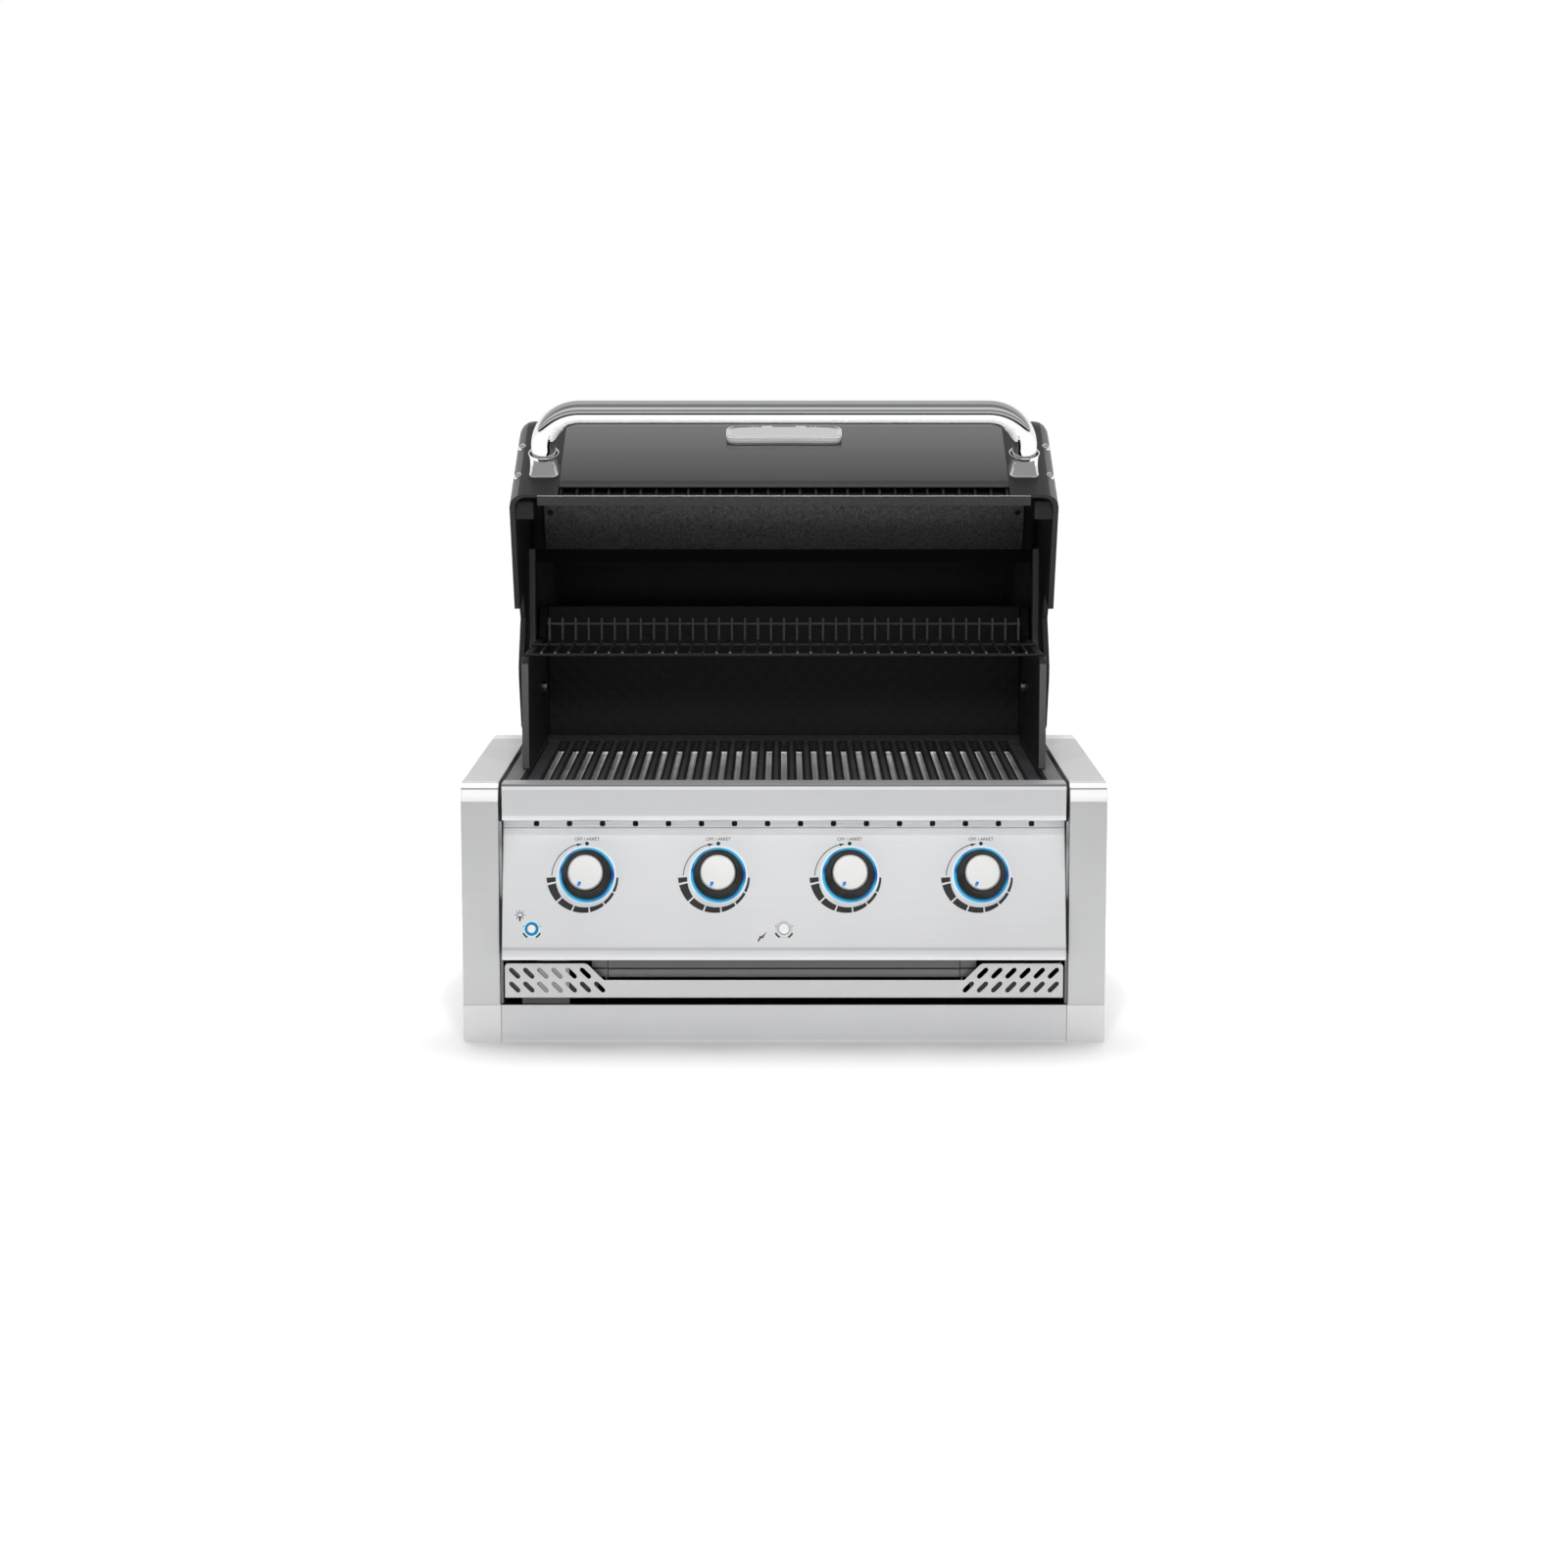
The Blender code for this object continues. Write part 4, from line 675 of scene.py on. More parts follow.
# Sheets behind the rail, seen through its slots, and flanges beside the panel: low and high corners
backEdge = 0.0002
backPlates = (
    ("railBracket", "bracketSteel", (((-0.304, -0.242, 0.0585), (-0.2655, -0.2408, 0.0965)),
                                     ((-0.304, -0.233, 0.0997), (-0.2655, -0.2318, 0.1062)))),
    ("railBacking", "backingSteel", (((-0.324, -0.24, 0.0475), (-0.2655, -0.2388, 0.0553)),
                                     ((-0.34, -0.238, 0.0585), (-0.3045, -0.2368, 0.0965)),
                                     ((-0.265, -0.236, 0.0585), (-0.23, -0.2348, 0.0765)),
                                     ((0.23, -0.236, 0.0585), (0.34, -0.2348, 0.0765)))),
    ("cradleFace", "traySteel", (((-0.2385, -0.229, 0.0795), (-0.2186, -0.228, 0.105)),
                                 ((0.2186, -0.229, 0.0795), (0.2385, -0.228, 0.105)))),
    ("trimFlange", "flangeSteel", (((-0.3506, -0.24, 0.048), (-0.3471, -0.2388, 0.276)),
                                   ((0.3471, -0.24, 0.048), (0.3506, -0.2388, 0.276)))),
)
for name, finish, plates in backPlates:
    shape = bmesh.new()
    for low, high in plates:
        boxShape(shape, low, high)
    bevelSharp(shape, backEdge, 1)
    addPiece(name, shape, finish, fixedBody)

# Cooking grids: crowned bars that narrow downwards, between a front and a rear frame
gridSet = {"barGap": 0.0125, "bar": 0.013, "foot": 0.002, "shallow": 0.0045, "count": 15, "side": 0.023,
           "sideTaper": 0.001, "frame": 0.014, "frameFoot": 0.008, "frameDrop": 0.0004, "edge": 0.0005,
           "crown": 0.0012, "crownStep": 0.004}
for side, sign in (("left", -1), ("right", 1)):
    low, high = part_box("cooking_grid_" + side)
    inner, outer = sorted((abs(low.x), abs(high.x)))
    pitch = (outer - inner - gridSet["side"]) / gridSet["count"]
    shape = bmesh.new()
    taper = (gridSet["bar"] - gridSet["foot"]) / 2
    sideTaper = gridSet["sideTaper"]
    extra = gridSet["bar"] - gridSet["barGap"]
    starts = [inner + number * pitch - extra / 2 for number in range(gridSet["count"])]
    spans = [(start, start + gridSet["bar"], taper, taper) for start in starts]
    spans[0] = (inner, spans[0][1], sideTaper, taper)
    spans.append((outer - gridSet["side"], outer, taper, sideTaper))
    step, shoulder, bottom = gridSet["crownStep"], high.z - gridSet["crown"], low.z + gridSet["shallow"]
    for start, end, first, last in spans:
        section = ((start, shoulder), (start + step, high.z), (end - step, high.z), (end, shoulder),
                   (end - last, bottom), (start + first, bottom))
        prismShape(shape, [(sign * x, low.y, z) for x, z in section], (0, high.y - low.y, 0))
    top = high.z - gridSet["frameDrop"]
    for y, back in ((low.y, 1), (high.y, -1)):
        section = ((0, top), (gridSet["frame"], top), (gridSet["frameFoot"], low.z), (0, low.z))
        prismShape(shape, [(sign * inner, y + back * depth, z) for depth, z in section],
                   (sign * (outer - inner), 0, 0))
    bevelSharp(shape, gridSet["edge"])
    # The bars' tops are painted lighter, as painted light
    paintFaces(shape, 1, lambda face: face.calc_center_median().z > high.z - near)
    addPiece("grid_" + side, shape, ["castIron", "ironTopLit"], fixedBody,
             ("cooking_grid_" + side,))
print("surround, panel and cook box dressed")

# Hood


def onCapSide(face):
    normal = face.normal
    return abs(normal.x) > 0.35 and normal.z > 0.3 and normal.x * face.calc_center_median().x > 0


for side in ("left", "right"):
    # The caps' upward slanted sides are painted a lighter copy of their black, as painted light
    dressNode("hood_end_cap_" + side, "endCap_" + side, "castBlack", "hood", 0.0008,
              (("capSideLit", onCapSide),))
    dressNode("hinge_pin_" + side, "pin_" + side, "pipeSteel", "hood", 0.0004)
rimSet = {"height": 0.006, "depth": 0.06, "arms": 0.325}


def linerPoint(face):
    place = closedPoint(face.calc_center_median())
    return place.y - trimFront, place.z - trimTop


dressNode("hood_liner", "liner", "linerEnamel", "hood", paint=(
    ("blackSheetAndShade", lambda face: linerPoint(face)[1] > rimSet["height"]
     and linerPoint(face)[0] < rimSet["depth"]),
    # The rim's upward faces carry a painted highlight
    ("rimHighlight", lambda face: linerPoint(face)[1] < rimSet["height"] and face.normal.z > 0.8)))
# The hinge frame is painted a darker black, as painted shade
dressNode("hood_hinge_frame", "hingeFrame", "paintedShadeBlack", "hood", 0.0005,
          # its arms are painted lighter, as painted light
          (("paintedLitGrey", lambda face: abs(face.calc_center_median().x) > rimSet["arms"]),))

skinSet = {"half": 0.2857, "front": 0.05, "bottom": 0.0275, "panelTop": 0.195, "bow": 0.0022, "bowSteps": 10,
           "frontRadius": 0.07, "rearRadius": 0.186, "rearTurn": 57, "frontSteps": 20,
           "rearSteps": 36, "gauge": 0.0025}
shape = bmesh.new()
rise = skinSet["panelTop"] - skinSet["bottom"]
spine = []
for step in range(skinSet["bowSteps"] + 1):
    part = step / skinSet["bowSteps"]
    bow = skinSet["bow"] * 4 * part * (1 - part)
    spine.append(shape.verts.new(hoodPoint(-skinSet["half"], skinSet["front"] - bow,
                                           skinSet["bottom"] + rise * part)))
for pair in zip(spine, spine[1:]):
    shape.edges.new(pair)
centre = hoodPoint(0, skinSet["front"] + skinSet["frontRadius"], skinSet["panelTop"])
bent = bmesh.ops.spin(shape, geom=[spine[-1]], cent=centre, axis=(1, 0, 0), angle=radians(-90),
                      steps=skinSet["frontSteps"])
last = vertsOf(bent["geom_last"])[0]
flat = bmesh.ops.extrude_vert_indiv(shape, verts=[last])["verts"][0]
flat.co = Vector((-skinSet["half"], pivot.y, pivot.z + skinSet["rearRadius"]))
bmesh.ops.spin(shape, geom=[flat], cent=pivot, axis=(1, 0, 0), angle=radians(-skinSet["rearTurn"]),
               steps=skinSet["rearSteps"])
extrudeBy(shape, shape.edges[:], (2 * skinSet["half"], 0, 0))
bmesh.ops.recalc_face_normals(shape, faces=shape.faces)
highest = max(shape.faces, key=lambda face: face.calc_center_median().z)
if highest.normal.z < 0:
    bmesh.ops.reverse_faces(shape, faces=shape.faces)
openHood(shape)
addPiece("hoodSkin", shape, "hoodEnamel", "hood", ("hood_skin",), facing="kept",
         thickness=skinSet["gauge"])

# The handle's lower front, between two slopes, is painted pale: a painted reflection of the floor
handleSet = {"post": 0.3066, "seat": 0.0434, "run": -0.0338, "rise": 0.07, "bend": 0.048,
             "radius": 0.0155, "steps": 24, "segments": 64, "reflectionFrom": -0.83, "reflectionTo": -0.52}
shape = bmesh.new()
post, rise = handleSet["post"], handleSet["rise"]
bendDepth = handleSet["run"] + handleSet["bend"]
inner = post - handleSet["bend"]
ring = pipeStart(shape, hoodPoint(-post, handleSet["seat"], rise), (0, -1, 0), handleSet["radius"],
                 handleSet["segments"])
ring = extrudeBy(shape, ring, (0, bendDepth - handleSet["seat"], 0))
ring = pipeBend(shape, ring, hoodPoint(-inner, bendDepth, rise), (0, 0, 1), handleSet["steps"])
ring = extrudeBy(shape, ring, (2 * inner, 0, 0))
ring = pipeBend(shape, ring, hoodPoint(inner, bendDepth, rise), (0, 0, 1), handleSet["steps"])
closeRing(shape, extrudeBy(shape, ring, (0, handleSet["seat"] - bendDepth, 0)))
openHood(shape)
bmesh.ops.recalc_face_normals(shape, faces=shape.faces)
paintFaces(shape, 1, lambda face: face.normal.y < 0
           and handleSet["reflectionFrom"] < face.normal.z < handleSet["reflectionTo"])
addPiece("handle", shape, ["chrome", "chromeFloorReflection"], "hood", ("handle_tube",),
         smoothAngle=50)

# Rings of a bracket from its square foot to its flared round lip: half width, half length, height, squareness
bracketRings = (
    (0.019, 0.024, 0.0, 5.0), (0.019, 0.024, 0.003, 5.0), (0.0187, 0.0237, 0.0038, 5.0),
    (0.0183, 0.0228, 0.0044, 4.6), (0.0179, 0.0214, 0.009, 4.0), (0.0176, 0.02, 0.014, 3.2),
    (0.0177, 0.019, 0.019, 2.6), (0.0183, 0.0187, 0.0225, 2.2), (0.0192, 0.0192, 0.025, 2.0),
    (0.0196, 0.0196, 0.0262, 2.0), (0.0192, 0.0192, 0.027, 2.0), (0.0182, 0.0182, 0.0266, 2.0),
    (0.0167, 0.0167, 0.023, 2.0), (0.016, 0.016, 0.018, 2.0), (0.0159, 0.0159, 0.0063, 2.0))
bracketBack, bracketSteps = 0.0497, 64
bracketFront = (0.0046, 0.0232, 1.3)  # the front, painted darker as a painted reflection: from and to height, and how steeply its sides narrow


def onBracketFront(face):
    middle = face.calc_center_median()
    return bracketFront[0] < middle.z < bracketFront[1] and middle.y < -abs(middle.x) * bracketFront[2]


forward = Matrix.Rotation(radians(90), 4, "X")
for side, sign in (("left", -1), ("right", 1)):
    shape = bmesh.new()
    stackRings(shape, bracketRings, bracketSteps)
    # The bracket's front is painted darker, as a painted reflection
    paintFaces(shape, 1, onBracketFront)
    moveShape(shape, Matrix.Translation(hoodPoint(sign * post, bracketBack, rise)) @ forward)
    openHood(shape)
    addPiece("handleBracket_" + side, shape, ["chrome", "bracketFrontReflection"], "hood",
             ("handle_bracket_" + side,), smoothAngle=50)

# Rings of the blank plate from its back to its sunk face, as (inset, height)
plateSet = {"half": 0.075, "halfHeight": 0.0175, "squareness": 6.0, "rise": 0.159, "back": 0.0497,
            "arch": 0.0025, "steps": 96, "cuts": 30,
            "rings": ((0.0015, 0.0), (0.0015, 0.004), (0.0, 0.0048), (0.0, 0.0098), (0.0006, 0.0107),
                      (0.0014, 0.011), (0.0034, 0.0108), (0.0044, 0.0101))}
shape = bmesh.new()
half, halfHeight = plateSet["half"], plateSet["halfHeight"]
stackRings(shape, [(half - inset, halfHeight - inset, height, plateSet["squareness"])
                   for inset, height in plateSet["rings"]], plateSet["steps"])
for cutNumber in range(1, plateSet["cuts"]):
    cutShape(shape, (half * (2 * cutNumber / plateSet["cuts"] - 1), 0, 0), (1, 0, 0))
for vert in shape.verts:
    vert.co.y += plateSet["arch"] * (1 - (vert.co.x / half) ** 2)
moveShape(shape, Matrix.Translation(hoodPoint(0, plateSet["back"], plateSet["rise"])) @ forward)
openHood(shape)
bmesh.ops.recalc_face_normals(shape, faces=shape.faces)
paintFaces(shape, 1, lambda face: face.normal.z > 0.5)
addPiece("blankPlate", shape, ["plateChrome", "chrome"], "hood", ("hood_plate",),
         smoothAngle=25)

# Bolts on the caps' slanted sides and a block in each cap's mouth, placed in the photo's open pose
boltSet = {"places": ((0.3401, 0.0557, 0.7228), (0.3403, -0.017, 0.6887)), "normal": (0.56, -0.35, 0.75),
           "radius": 0.0055, "height": 0.0036}
blockSet = {"low": (0.318, -0.058, 0.6362), "high": (0.3405, -0.036, 0.659), "edge": 0.0008}
edgeSet = {"low": (0.3122, -0.063, 0.5743), "high": (0.3245, 0.0253, 0.5755), "edge": 0.0003}
screwSet = {"places": ((0.3161, 0.2185, 0.6294),), "normal": (0, -0.906, -0.423), "radius": 0.0042,
            "height": 0.0014}
# A bolt's head as shares of its radius and height, over its shank's height in metres
boltHead = ((1.0, 0.3), (0.92, 0.6), (0.7, 0.9), (0.45, 1.0), (0.4, 0.7), (0, 0.7))


def addBolts(shape, settings, mirror):
    radius, height = settings["radius"], settings["height"]
    profile = [(0, -0.001), (radius, -0.001)] + [(radius * out, height * up) for out, up in boltHead]
    turn = (Vector(settings["normal"]) * mirror).to_track_quat("Z", "Y").to_matrix().to_4x4()
    for place in settings["places"]:
        made = spinShape(shape, profile, 24)
        bmesh.ops.transform(shape, matrix=Matrix.Translation(Vector(place) * mirror) @ turn, verts=made)


for side, sign in (("left", -1), ("right", 1)):
    mirror = Vector((sign, 1, 1))
    shape = bmesh.new()
    addBolts(shape, boltSet, mirror)
    addPiece("capBolts_" + side, shape, "chrome", "hood")
    shape = bmesh.new()
    boxShape(shape, Vector(blockSet["low"]) * mirror, Vector(blockSet["high"]) * mirror)
    bevelSharp(shape, blockSet["edge"])
    addPiece("capBlock_" + side, shape, "blockGrey", "hood")
    shape = bmesh.new()
    boxShape(shape, Vector(edgeSet["low"]) * mirror, Vector(edgeSet["high"]) * mirror)
    bevelSharp(shape, edgeSet["edge"], 1)
    openHood(shape)
    addPiece("linerEdge_" + side, shape, "linerEnamel", "hood")
    shape = bmesh.new()
    addBolts(shape, screwSet, mirror)
    addPiece("linerScrew_" + side, shape, "wireBlack", "hood")
print("hood dressed")

# Warming rack

# The last four are shares of a wire's or a rod's radius
rackSet = {"wire": 0.0016, "rod": 0.0019, "count": 37, "share": 0.9286, "bend": 0.006, "steps": 6,
           "segments": 10, "rodSegments": 16, "fenceSegments": 12, "rearInset": 0.012, "fenceDrop": 0.008,
           "wireSeat": 0.6, "fenceSeat": 0.8, "fenceRod": 0.75, "tipFrom": 0.8}
low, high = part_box("warming_rack")
rod, wire, bend = rackSet["rod"], rackSet["wire"], rackSet["bend"]
rodZ = low.z + rod
wireZ = rodZ + rod + wire * rackSet["wireSeat"]
fenceY = high.y - 2 * rod - wire
shape = bmesh.new()
for y in (low.y + rod + wire, fenceY - rackSet["rearInset"]):
    addRod(shape, (low.x, y, rodZ), high.x - low.x, rod, rackSet["rodSegments"])
reach = high.x * rackSet["share"]
start = (-reach - 2 * wire, fenceY + wire + rod * rackSet["fenceSeat"], high.z - rackSet["fenceDrop"])
addRod(shape, start, 2 * reach + 4 * wire, rod * rackSet["fenceRod"], rackSet["fenceSegments"])
for number in range(rackSet["count"]):
    x = reach * (2 * number / (rackSet["count"] - 1) - 1)
    ring = pipeStart(shape, (x, low.y, wireZ), (0, 1, 0), wire, rackSet["segments"])
    ring = extrudeBy(shape, ring, (0, fenceY - bend - low.y, 0))
    ring = pipeBend(shape, ring, (x, fenceY - bend, wireZ + bend), (1, 0, 0), rackSet["steps"])
    closeRing(shape, extrudeBy(shape, ring, (0, 0, high.z - wireZ - bend)))
shape.normal_update()
tipFrom = rodZ + rod * rackSet["tipFrom"]
# The wire ends facing front get painted highlights
paintFaces(shape, 2, lambda face: face.normal.y < -0.99 and face.calc_center_median().z > tipFrom)
# The upright fence wires are painted a lighter black, as painted light
paintFaces(shape, 1, lambda face: face.calc_center_median().z > wireZ + 2 * wire)
addPiece("rack", shape, ["wireBlack", "fenceLitBlack", "tipHighlight"], fixedBody, ("warming_rack",),
         smoothAngle=50)
print("rack made")

# Knobs, light rings and dials

outward = Vector(joints["knob_turn_1"]["axis"])


# The panel's own frame: x to the right, y up the panel and z out of it
def panelFrame(place):
    out = outward.normalized()
    right = Vector((1, 0, 0))
    turn = Matrix((right, out.cross(right), out)).transposed().to_4x4()
    return Matrix.Translation(Vector(place)) @ turn


knobSet = {"ridges": 84, "ridgeDepth": 0.0007, "ridgeFrom": 0.0135, "ridgeTo": 0.0295, "ridgeStep": 0.002,
           "ridgeZero": 0.0142, "ridgeInner": 0.0238, "pointerTurn": 152.5, "pointerPlace": 0.0163,
           "highlightShift": 0.002, "highlightHeight": 0.0333, "capRim": 0.0203, "steps": 96, "pointerSteps": 32}
# Skirt outline, radius and height over the panel, from the bore out, over the knurl and in under the cap
knobProfile = ((0.0045, 0.0076), (0.029, 0.0076), (0.03, 0.0084), (0.03, 0.013), (0.0296, 0.0142),
               (0.0289, 0.016), (0.0282, 0.018), (0.0275, 0.02), (0.0268, 0.022), (0.0261, 0.024),
               (0.0253, 0.0262), (0.0245, 0.0285), (0.0238, 0.0305), (0.0232, 0.0314), (0.0227, 0.0314),
               (0.0225, 0.0296), (0.0045, 0.0296))
capProfile = ((0, 0.029), (0.0219, 0.029), (0.0221, 0.0316), (0.0219, 0.0323), (0.0213, 0.0327),
              (0.0207, 0.0325), (0.0204, 0.0321), (0.02, 0.0324), (0.019, 0.0328), (0.014, 0.033),
              (0.007, 0.0331), (0, 0.03312))
ringProfile = ((0.0043, -0.0067), (0.016, -0.0067), (0.016, 0.0003), (0.0341, 0.0003), (0.0341, 0.0026),
               (0.0337, 0.0035), (0.033, 0.0041), (0.0321, 0.0043), (0.0311, 0.004), (0.0303, 0.0034),
               (0.0298, 0.0028), (0.0043, 0.0028))
pointerRings = ((0.0019, 0.0032, 0.0325, 2.6), (0.0019, 0.0032, 0.0333, 2.6), (0.0015, 0.0028, 0.0336, 2.6))
pointerBlues = ((0.0, (0.03, 0.42, 0.98)), (0.45, (0.02, 0.22, 0.75)), (1.0, (0.008, 0.05, 0.3)))
deep, sky, pale = (0.01, 0.085, 0.36), (0.028, 0.4, 0.7), (0.06, 0.42, 0.68)
# Light round the ring by the share of a turn, and across it from the inner to the outer radius
glowSet = {
    "around": ((0.0, sky), (0.1, pale), (0.2, sky), (0.28, (0.012, 0.25, 0.45)), (0.36, (0.02, 0.2, 0.52)),
               (0.43, sky), (0.47, (0.014, 0.15, 0.42)), (0.51, deep), (0.56, (0.03, 0.3, 0.6)),
               (0.62, pale), (0.7, sky), (0.78, (0.09, 0.4, 0.6)), (0.86, (0.02, 0.16, 0.42)),
               (0.92, sky), (0.97, deep), (1.0, sky)),
    "across": ((0.0, 0.05), (0.2, 0.3), (0.4, 0.85), (0.8, 1.0), (1.0, 1.1)), "span": (0.0296, 0.0346)}


def makeRingGlow(name, place):
    material, tree, shader = newMaterial(name)
    inputs = {"Vector": objectPlace(tree), "Location": place.to_translation(), "Rotation": place.to_euler()}
    local = addNode(tree, "ShaderNodeMapping", inputs, vector_type="TEXTURE").outputs["Vector"]
    split = splitNode(tree, local)
    turn = mathNode(tree, "ARCTAN2", split["Y"], split["X"])
    share = mathNode(tree, "ADD", mathNode(tree, "DIVIDE", turn, 2 * pi), 0.5)
    around = ramp(tree, share, glowSet["around"])
    flat = addNode(tree, "ShaderNodeCombineXYZ", {"X": split["X"], "Y": split["Y"]}).outputs[0]
    length = vectorNode(tree, "LENGTH", {0: flat})["Value"]
    across = ramp(tree, rangeNode(tree, length, *glowSet["span"]), glowSet["across"])
    setGlow(tree, shader, vectorNode(tree, "MULTIPLY", {0: around, 1: across})[0], 0.8, 0.25)
    return material


for number in range(1, 5):
    place = panelFrame(joints["knob_turn_%d" % number]["pos_m"])
    knobBody = "knob_%d" % number
    shape = bmesh.new()
    spinShape(shape, knobProfile, knobSet["ridges"] * 2)
    for vert in shape.verts:
        radius = vert.co.xy.length
        if radius > knobSet["ridgeInner"] and knobSet["ridgeFrom"] < vert.co.z < knobSet["ridgeTo"]:
            tooth = round(vert.co.xy.angle_signed(Vector((1, 0))) / (2 * pi) * knobSet["ridges"] * 2)
            if (tooth + round((vert.co.z - knobSet["ridgeZero"]) / knobSet["ridgeStep"])) % 2:
                vert.co.xy *= 1 - knobSet["ridgeDepth"] / radius
    moveShape(shape, place)
    addPiece("knobSkirt_%d" % number, shape, "knobBlack", knobBody, ("knob_%d" % number,),
             smoothAngle=60)
    shape = bmesh.new()
    spinShape(shape, capProfile, knobSet["steps"])
    paintFaces(shape, 1, lambda face: face.calc_center_median().xy.length > knobSet["capRim"])
    moveShape(shape, place)
    addPiece("knobCap_%d" % number, shape, ["knobSilver", "rimSilver"], knobBody,
             smoothAngle=50)
    shape = bmesh.new()
    stackRings(shape, pointerRings, knobSet["pointerSteps"])
    pointerFrame = place @ Matrix.Rotation(radians(knobSet["pointerTurn"]), 4, "Z")
    moveShape(shape, pointerFrame @ Matrix.Translation((0, knobSet["pointerPlace"], 0)))
    # The pointer's light is brightest at a painted highlight spot near its top
    highlightSpot = pointerFrame @ Vector((0, knobSet["pointerPlace"] + knobSet["highlightShift"],
                                    knobSet["highlightHeight"]))
    pointerGlow = makeGlow("pointerGlow_%d" % number, pointerBlues, 0.7, highlightSpot, (0.0, 0.005))
    addPiece("knobPointer_%d" % number, shape, pointerGlow, knobBody, smoothAngle=50)
    shape = bmesh.new()
    spinShape(shape, ringProfile, knobSet["steps"])
    moveShape(shape, place)
    addPiece("lightRing_%d" % number, shape, makeRingGlow("ringGlow_%d" % number, place), fixedBody,
             ("knob_bezel_%d" % number,), smoothAngle=50)
print("knobs made")

# Printed dials: angles run counterclockwise from the right, seen from in front

dialSet = {"ink": 0.00008, "over": 0.00003, "step": 3.0, "dotRadius": 0.0024, "dotRise": 0.039,
           "halo": (0.0342, 0.0357), "haloStep": 6, "lineWidth": 0.001, "text": "OFF / ARRÊT",
           "textWidth": 0.0305, "textRise": 0.0444}
# Segment ends in degrees, and the radii that the dark band passes through, as (degrees, inner, outer)
dialSegments = ((183.9, 191.7), (194.8, 221.0), (223.6, 246.6), (249.1, 273.2), (275.7, 299.4),
                (302.0, 325.6), (328.2, 355.3))
dialRadii = ((183.9, 0.0384, 0.0497), (192.0, 0.0389, 0.0498), (222.0, 0.041, 0.0497),
             (248.0, 0.0407, 0.0481), (274.0, 0.0398, 0.0464), (300.7, 0.0392, 0.0432),
             (327.0, 0.0374, 0.0408), (355.3, 0.0366, 0.039))
arrowSet = {"start": (181.0, 0.0431), "end": (106.0, 0.0395), "steps": 30,
            "head": ((108.5, 0.0376), (108.5, 0.0412), (98.5, 0.0391))}


# The values at a place in a table, by straight lines between its rows
def blend(table, place):
    for first, second in zip(table, table[1:]):
        if place <= second[0] or second is table[-1]:
            part = (place - first[0]) / (second[0] - first[0])
            return [a + (b - a) * part for a, b in zip(first[1:], second[1:])]


def polar(degrees, radius):
    return Vector((radius * cos(radians(degrees)), radius * sin(radians(degrees)), 0))


# A flat band through stations of degrees, inner and outer radius
def sweepBand(shape, stations):
    edge = None
    for degrees, inner, outer in stations:
        if edge is None:
            edge = shape.edges.new([shape.verts.new(polar(degrees, radius)) for radius in (inner, outer)])
            continue
        grown = bmesh.ops.extrude_edge_only(shape, edges=[edge])["geom"]
        ends = sorted(vertsOf(grown), key=lambda vert: vert.co.xy.length)
        for vert, radius in zip(ends, (inner, outer)):
            vert.co = polar(degrees, radius)
        edge = [item for item in edgesOf(grown) if set(item.verts) == set(ends)][0]


def arcBand(shape, first, last, steps, radius, width):
    sweepBand(shape, [(first + (last - first) * step / steps, radius - width / 2, radius + width / 2)
                      for step in range(steps + 1)])


def addPolygon(shape, points):
    shape.faces.new([shape.verts.new((*point, 0)) for point in points])


# A flat stroke with round ends
def addStroke(shape, start, end, width):
    along = (end - start).normalized() * width / 2
    points = []
    for centre, first in ((end, -90), (start, 90)):
        for step in range(9):
            turn = radians(first + 180 * step / 8)
            points.append(centre + Vector((along.x * cos(turn) - along.y * sin(turn),
                                           along.x * sin(turn) + along.y * cos(turn))))
    addPolygon(shape, points)


def addDisc(shape, centre, radius, segments):
    addPolygon(shape, [Vector(centre) + polar(360 * step / segments, radius).xy for step in range(segments)])


def addPrint(name, shape, place, finish):
    bmesh.ops.recalc_face_normals(shape, faces=shape.faces)
    for face in shape.faces:
        if face.normal.z < 0:
            face.normal_flip()
    liftFaces(shape, shape.faces[:], (0, 0, dialSet["ink"]))
    bmesh.ops.translate(shape, vec=(0, 0, dialSet["over"]), verts=shape.verts)
    moveShape(shape, place)
    addPiece(name, shape, finish, fixedBody)


def textShape(words, width, rise):
    curve = bpy.data.curves.new("words", "FONT")
    curve.body = words
    curve.align_x = "CENTER"
    curve.align_y = "CENTER"
    curve.resolution_u = 4
    writer = linkObject("words", curve)
    mesh = bpy.data.meshes.new_from_object(writer)
    shape = bmesh.new()
    shape.from_mesh(mesh)
    bpy.data.objects.remove(writer)
    bpy.data.meshes.remove(mesh)
    bpy.data.curves.remove(curve)
    bmesh.ops.remove_doubles(shape, verts=shape.verts, dist=0.00001)
    reach = [vert.co.x for vert in shape.verts]
    size = width / (max(reach) - min(reach))
    bmesh.ops.scale(shape, vec=(size, size, size), verts=shape.verts)
    bmesh.ops.translate(shape, vec=(0, rise, 0), verts=shape.verts)
    return shape


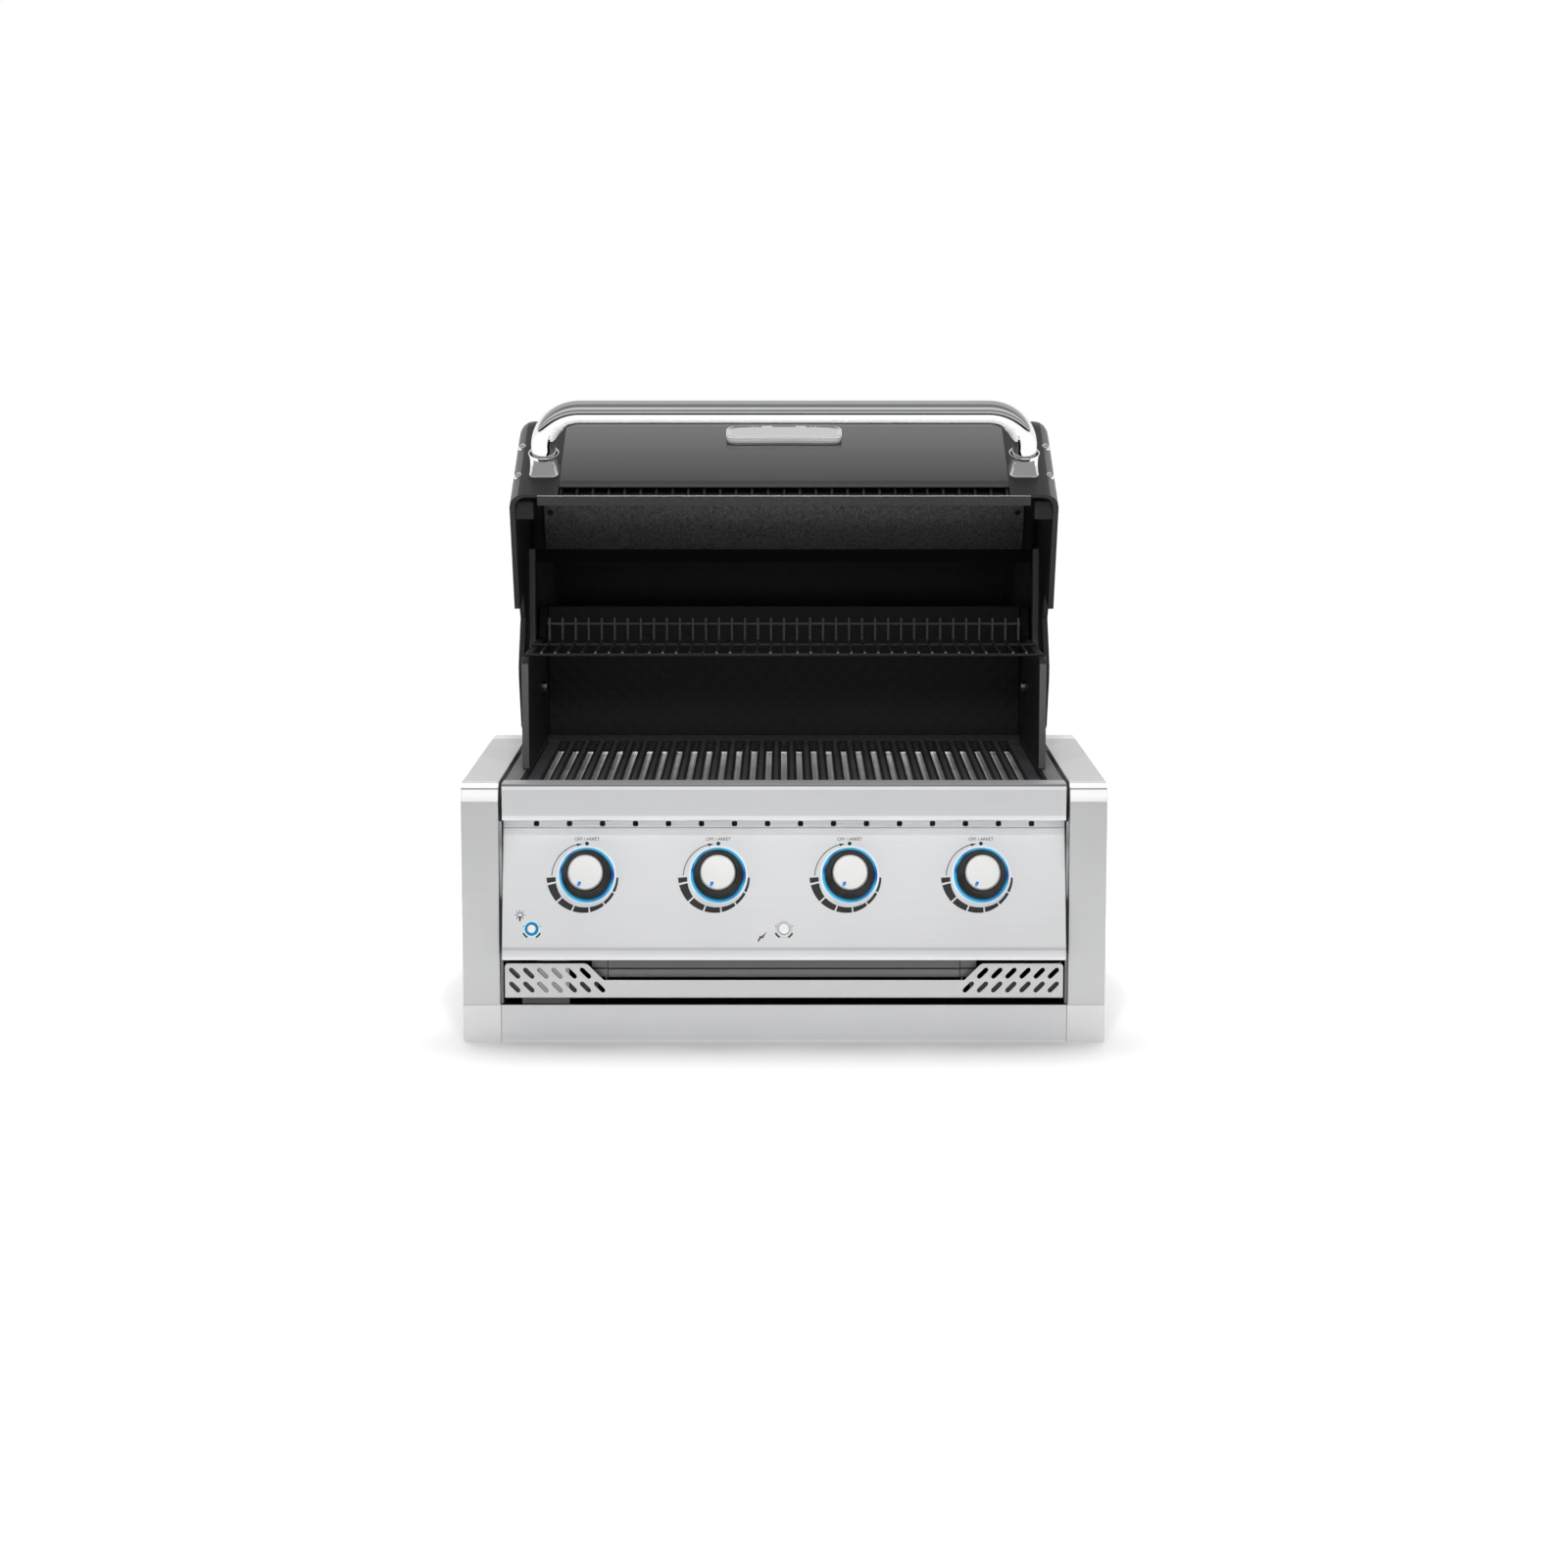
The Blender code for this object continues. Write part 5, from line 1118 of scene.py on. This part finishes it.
for number in range(1, 5):
    place = panelFrame(joints["knob_turn_%d" % number]["pos_m"])
    shape = bmesh.new()
    for start, end in dialSegments:
        steps = max(2, round((end - start) / dialSet["step"]))
        places = [start + (end - start) * step / steps for step in range(steps + 1)]
        sweepBand(shape, [(degrees, *blend(dialRadii, degrees)) for degrees in places])
    addDisc(shape, (0, dialSet["dotRise"]), dialSet["dotRadius"], 32)
    addPrint("dialPrint_%d" % number, shape, place, "printBlack")
    shape = bmesh.new()
    half = dialSet["lineWidth"] / 2
    ends = ((0, *arrowSet["start"]), (arrowSet["steps"], *arrowSet["end"]))
    places = [blend(ends, step) for step in range(arrowSet["steps"] + 1)]
    sweepBand(shape, [(degrees, radius - half, radius + half) for degrees, radius in places])
    addPolygon(shape, [polar(*corner).xy for corner in arrowSet["head"]])
    addPrint("dialArrow_%d" % number, shape, place, "printBlack")
    shape = bmesh.new()
    # A pale ring just outside the knob's light ring: painted glow from that light on the panel
    sweepBand(shape, [(degrees, *dialSet["halo"]) for degrees in range(0, 361, dialSet["haloStep"])])
    addPrint("dialGlowHalo_%d" % number, shape, place, "haloPale")
    shape = textShape(dialSet["text"], dialSet["textWidth"], dialSet["textRise"])
    addPrint("dialText_%d" % number, shape, place, "printBlack")
print("dials printed")

# Buttons with their rings, strokes and icons

buttonRim, buttonSteps = 0.0049, 64
pushProfile = ((0.0, -0.0031), (0.0074, -0.0031), (0.0074, -0.0019), (0.0065, -0.0017), (0.0065, 0.0036),
               (0.0062, 0.0041), (0.0055, 0.0042), (0.005, 0.0041), (0.004, 0.004), (0.0, 0.0038))
bezelProfile = ((0, -0.012), (0.0086, -0.012), (0.0086, 0.0003), (0.0096, 0.0003), (0.0096, 0.001),
                (0.0093, 0.0017), (0.0086, 0.0022), (0.0078, 0.0022), (0.0071, 0.0018), (0.0068, 0.0012),
                (0.0068, -0.0015), (0.0078, -0.0015), (0.0078, -0.0055), (0, -0.0055))
buttonBlues = ((0.0, (0.6, 0.85, 0.93)), (0.15, (0.2, 0.6, 0.8)), (0.32, (0.02, 0.2, 0.42)),
               (0.6, (0.014, 0.15, 0.36)), (0.75, (0.06, 0.38, 0.62)), (0.88, (0.55, 0.85, 0.93)),
               (1.0, (0.78, 0.93, 0.98)))
markSet = {"radius": 0.0114, "from": 205, "to": 243, "width": 0.0021, "dot": (160.5, 0.0107, 0.0007)}
boltShape = ((-0.0325, -0.015), (-0.0293, -0.008), (-0.0277, -0.0092), (-0.0213, -0.003), (-0.0262, -0.0118),
             (-0.028, -0.0106), (-0.0313, -0.016))
bulbSet = {"place": (-0.0147, 0.0173), "radius": 0.0032, "width": 0.0009,
           "rays": (0, 45, 90, 135, 180, 225, 315), "rayStart": 0.0045, "rayEnd": 0.0061,
           "neck": ((-0.0016, -0.0016), (0.0016, -0.0016), (0.0011, -0.0062), (0.0006, -0.0079),
                    (-0.0006, -0.0079), (-0.0011, -0.0062))}
for name in ("light", "igniter"):
    low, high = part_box(name + "_button")
    middle = (low + high) / 2
    face = middle - outward * (middle - Vector(joints["knob_turn_1"]["pos_m"])).dot(outward)
    place = panelFrame(face)
    shape = bmesh.new()
    spinShape(shape, pushProfile, buttonSteps)
    paintFaces(shape, 1, lambda face: face.calc_center_median().xy.length > buttonRim)
    moveShape(shape, place)
    rim, finish = "buttonWhite", "satinSilver"
    if name == "light":
        rim = finish = makeGlow("lightRingGlow", buttonBlues, 0.8, face, (0.0048, 0.01))
    addPiece(name + "Push", shape, ["buttonWhite", rim], name + "_button",
             (name + "_button",), smoothAngle=50)
    shape = bmesh.new()
    spinShape(shape, bezelProfile, buttonSteps)
    moveShape(shape, place)
    addPiece(name + "Ring", shape, finish, fixedBody, (name + "_bezel",), smoothAngle=50)
    shape = bmesh.new()
    for first, last in ((markSet["from"], markSet["to"]), (180 - markSet["to"], 180 - markSet["from"])):
        arcBand(shape, first, last, 8, markSet["radius"], markSet["width"])
    degrees, radius, size = markSet["dot"]
    for turn in (degrees, 180 - degrees):
        addDisc(shape, polar(turn, radius).xy, size, 16)
    if name == "igniter":
        addPolygon(shape, boltShape)
    addPrint(name + "Marks", shape, place, "printBlack")
    if name == "light":
        shape = bmesh.new()
        arcBand(shape, -60, 240, 32, bulbSet["radius"], bulbSet["width"])
        for turn in bulbSet["rays"]:
            start, end = (polar(turn, bulbSet[key]).xy for key in ("rayStart", "rayEnd"))
            addStroke(shape, start, end, bulbSet["width"])
        addPolygon(shape, bulbSet["neck"])
        bmesh.ops.translate(shape, vec=(*bulbSet["place"], 0), verts=shape.verts)
        addPrint("bulbIcon", shape, place, "printGrey")
print("buttons made")
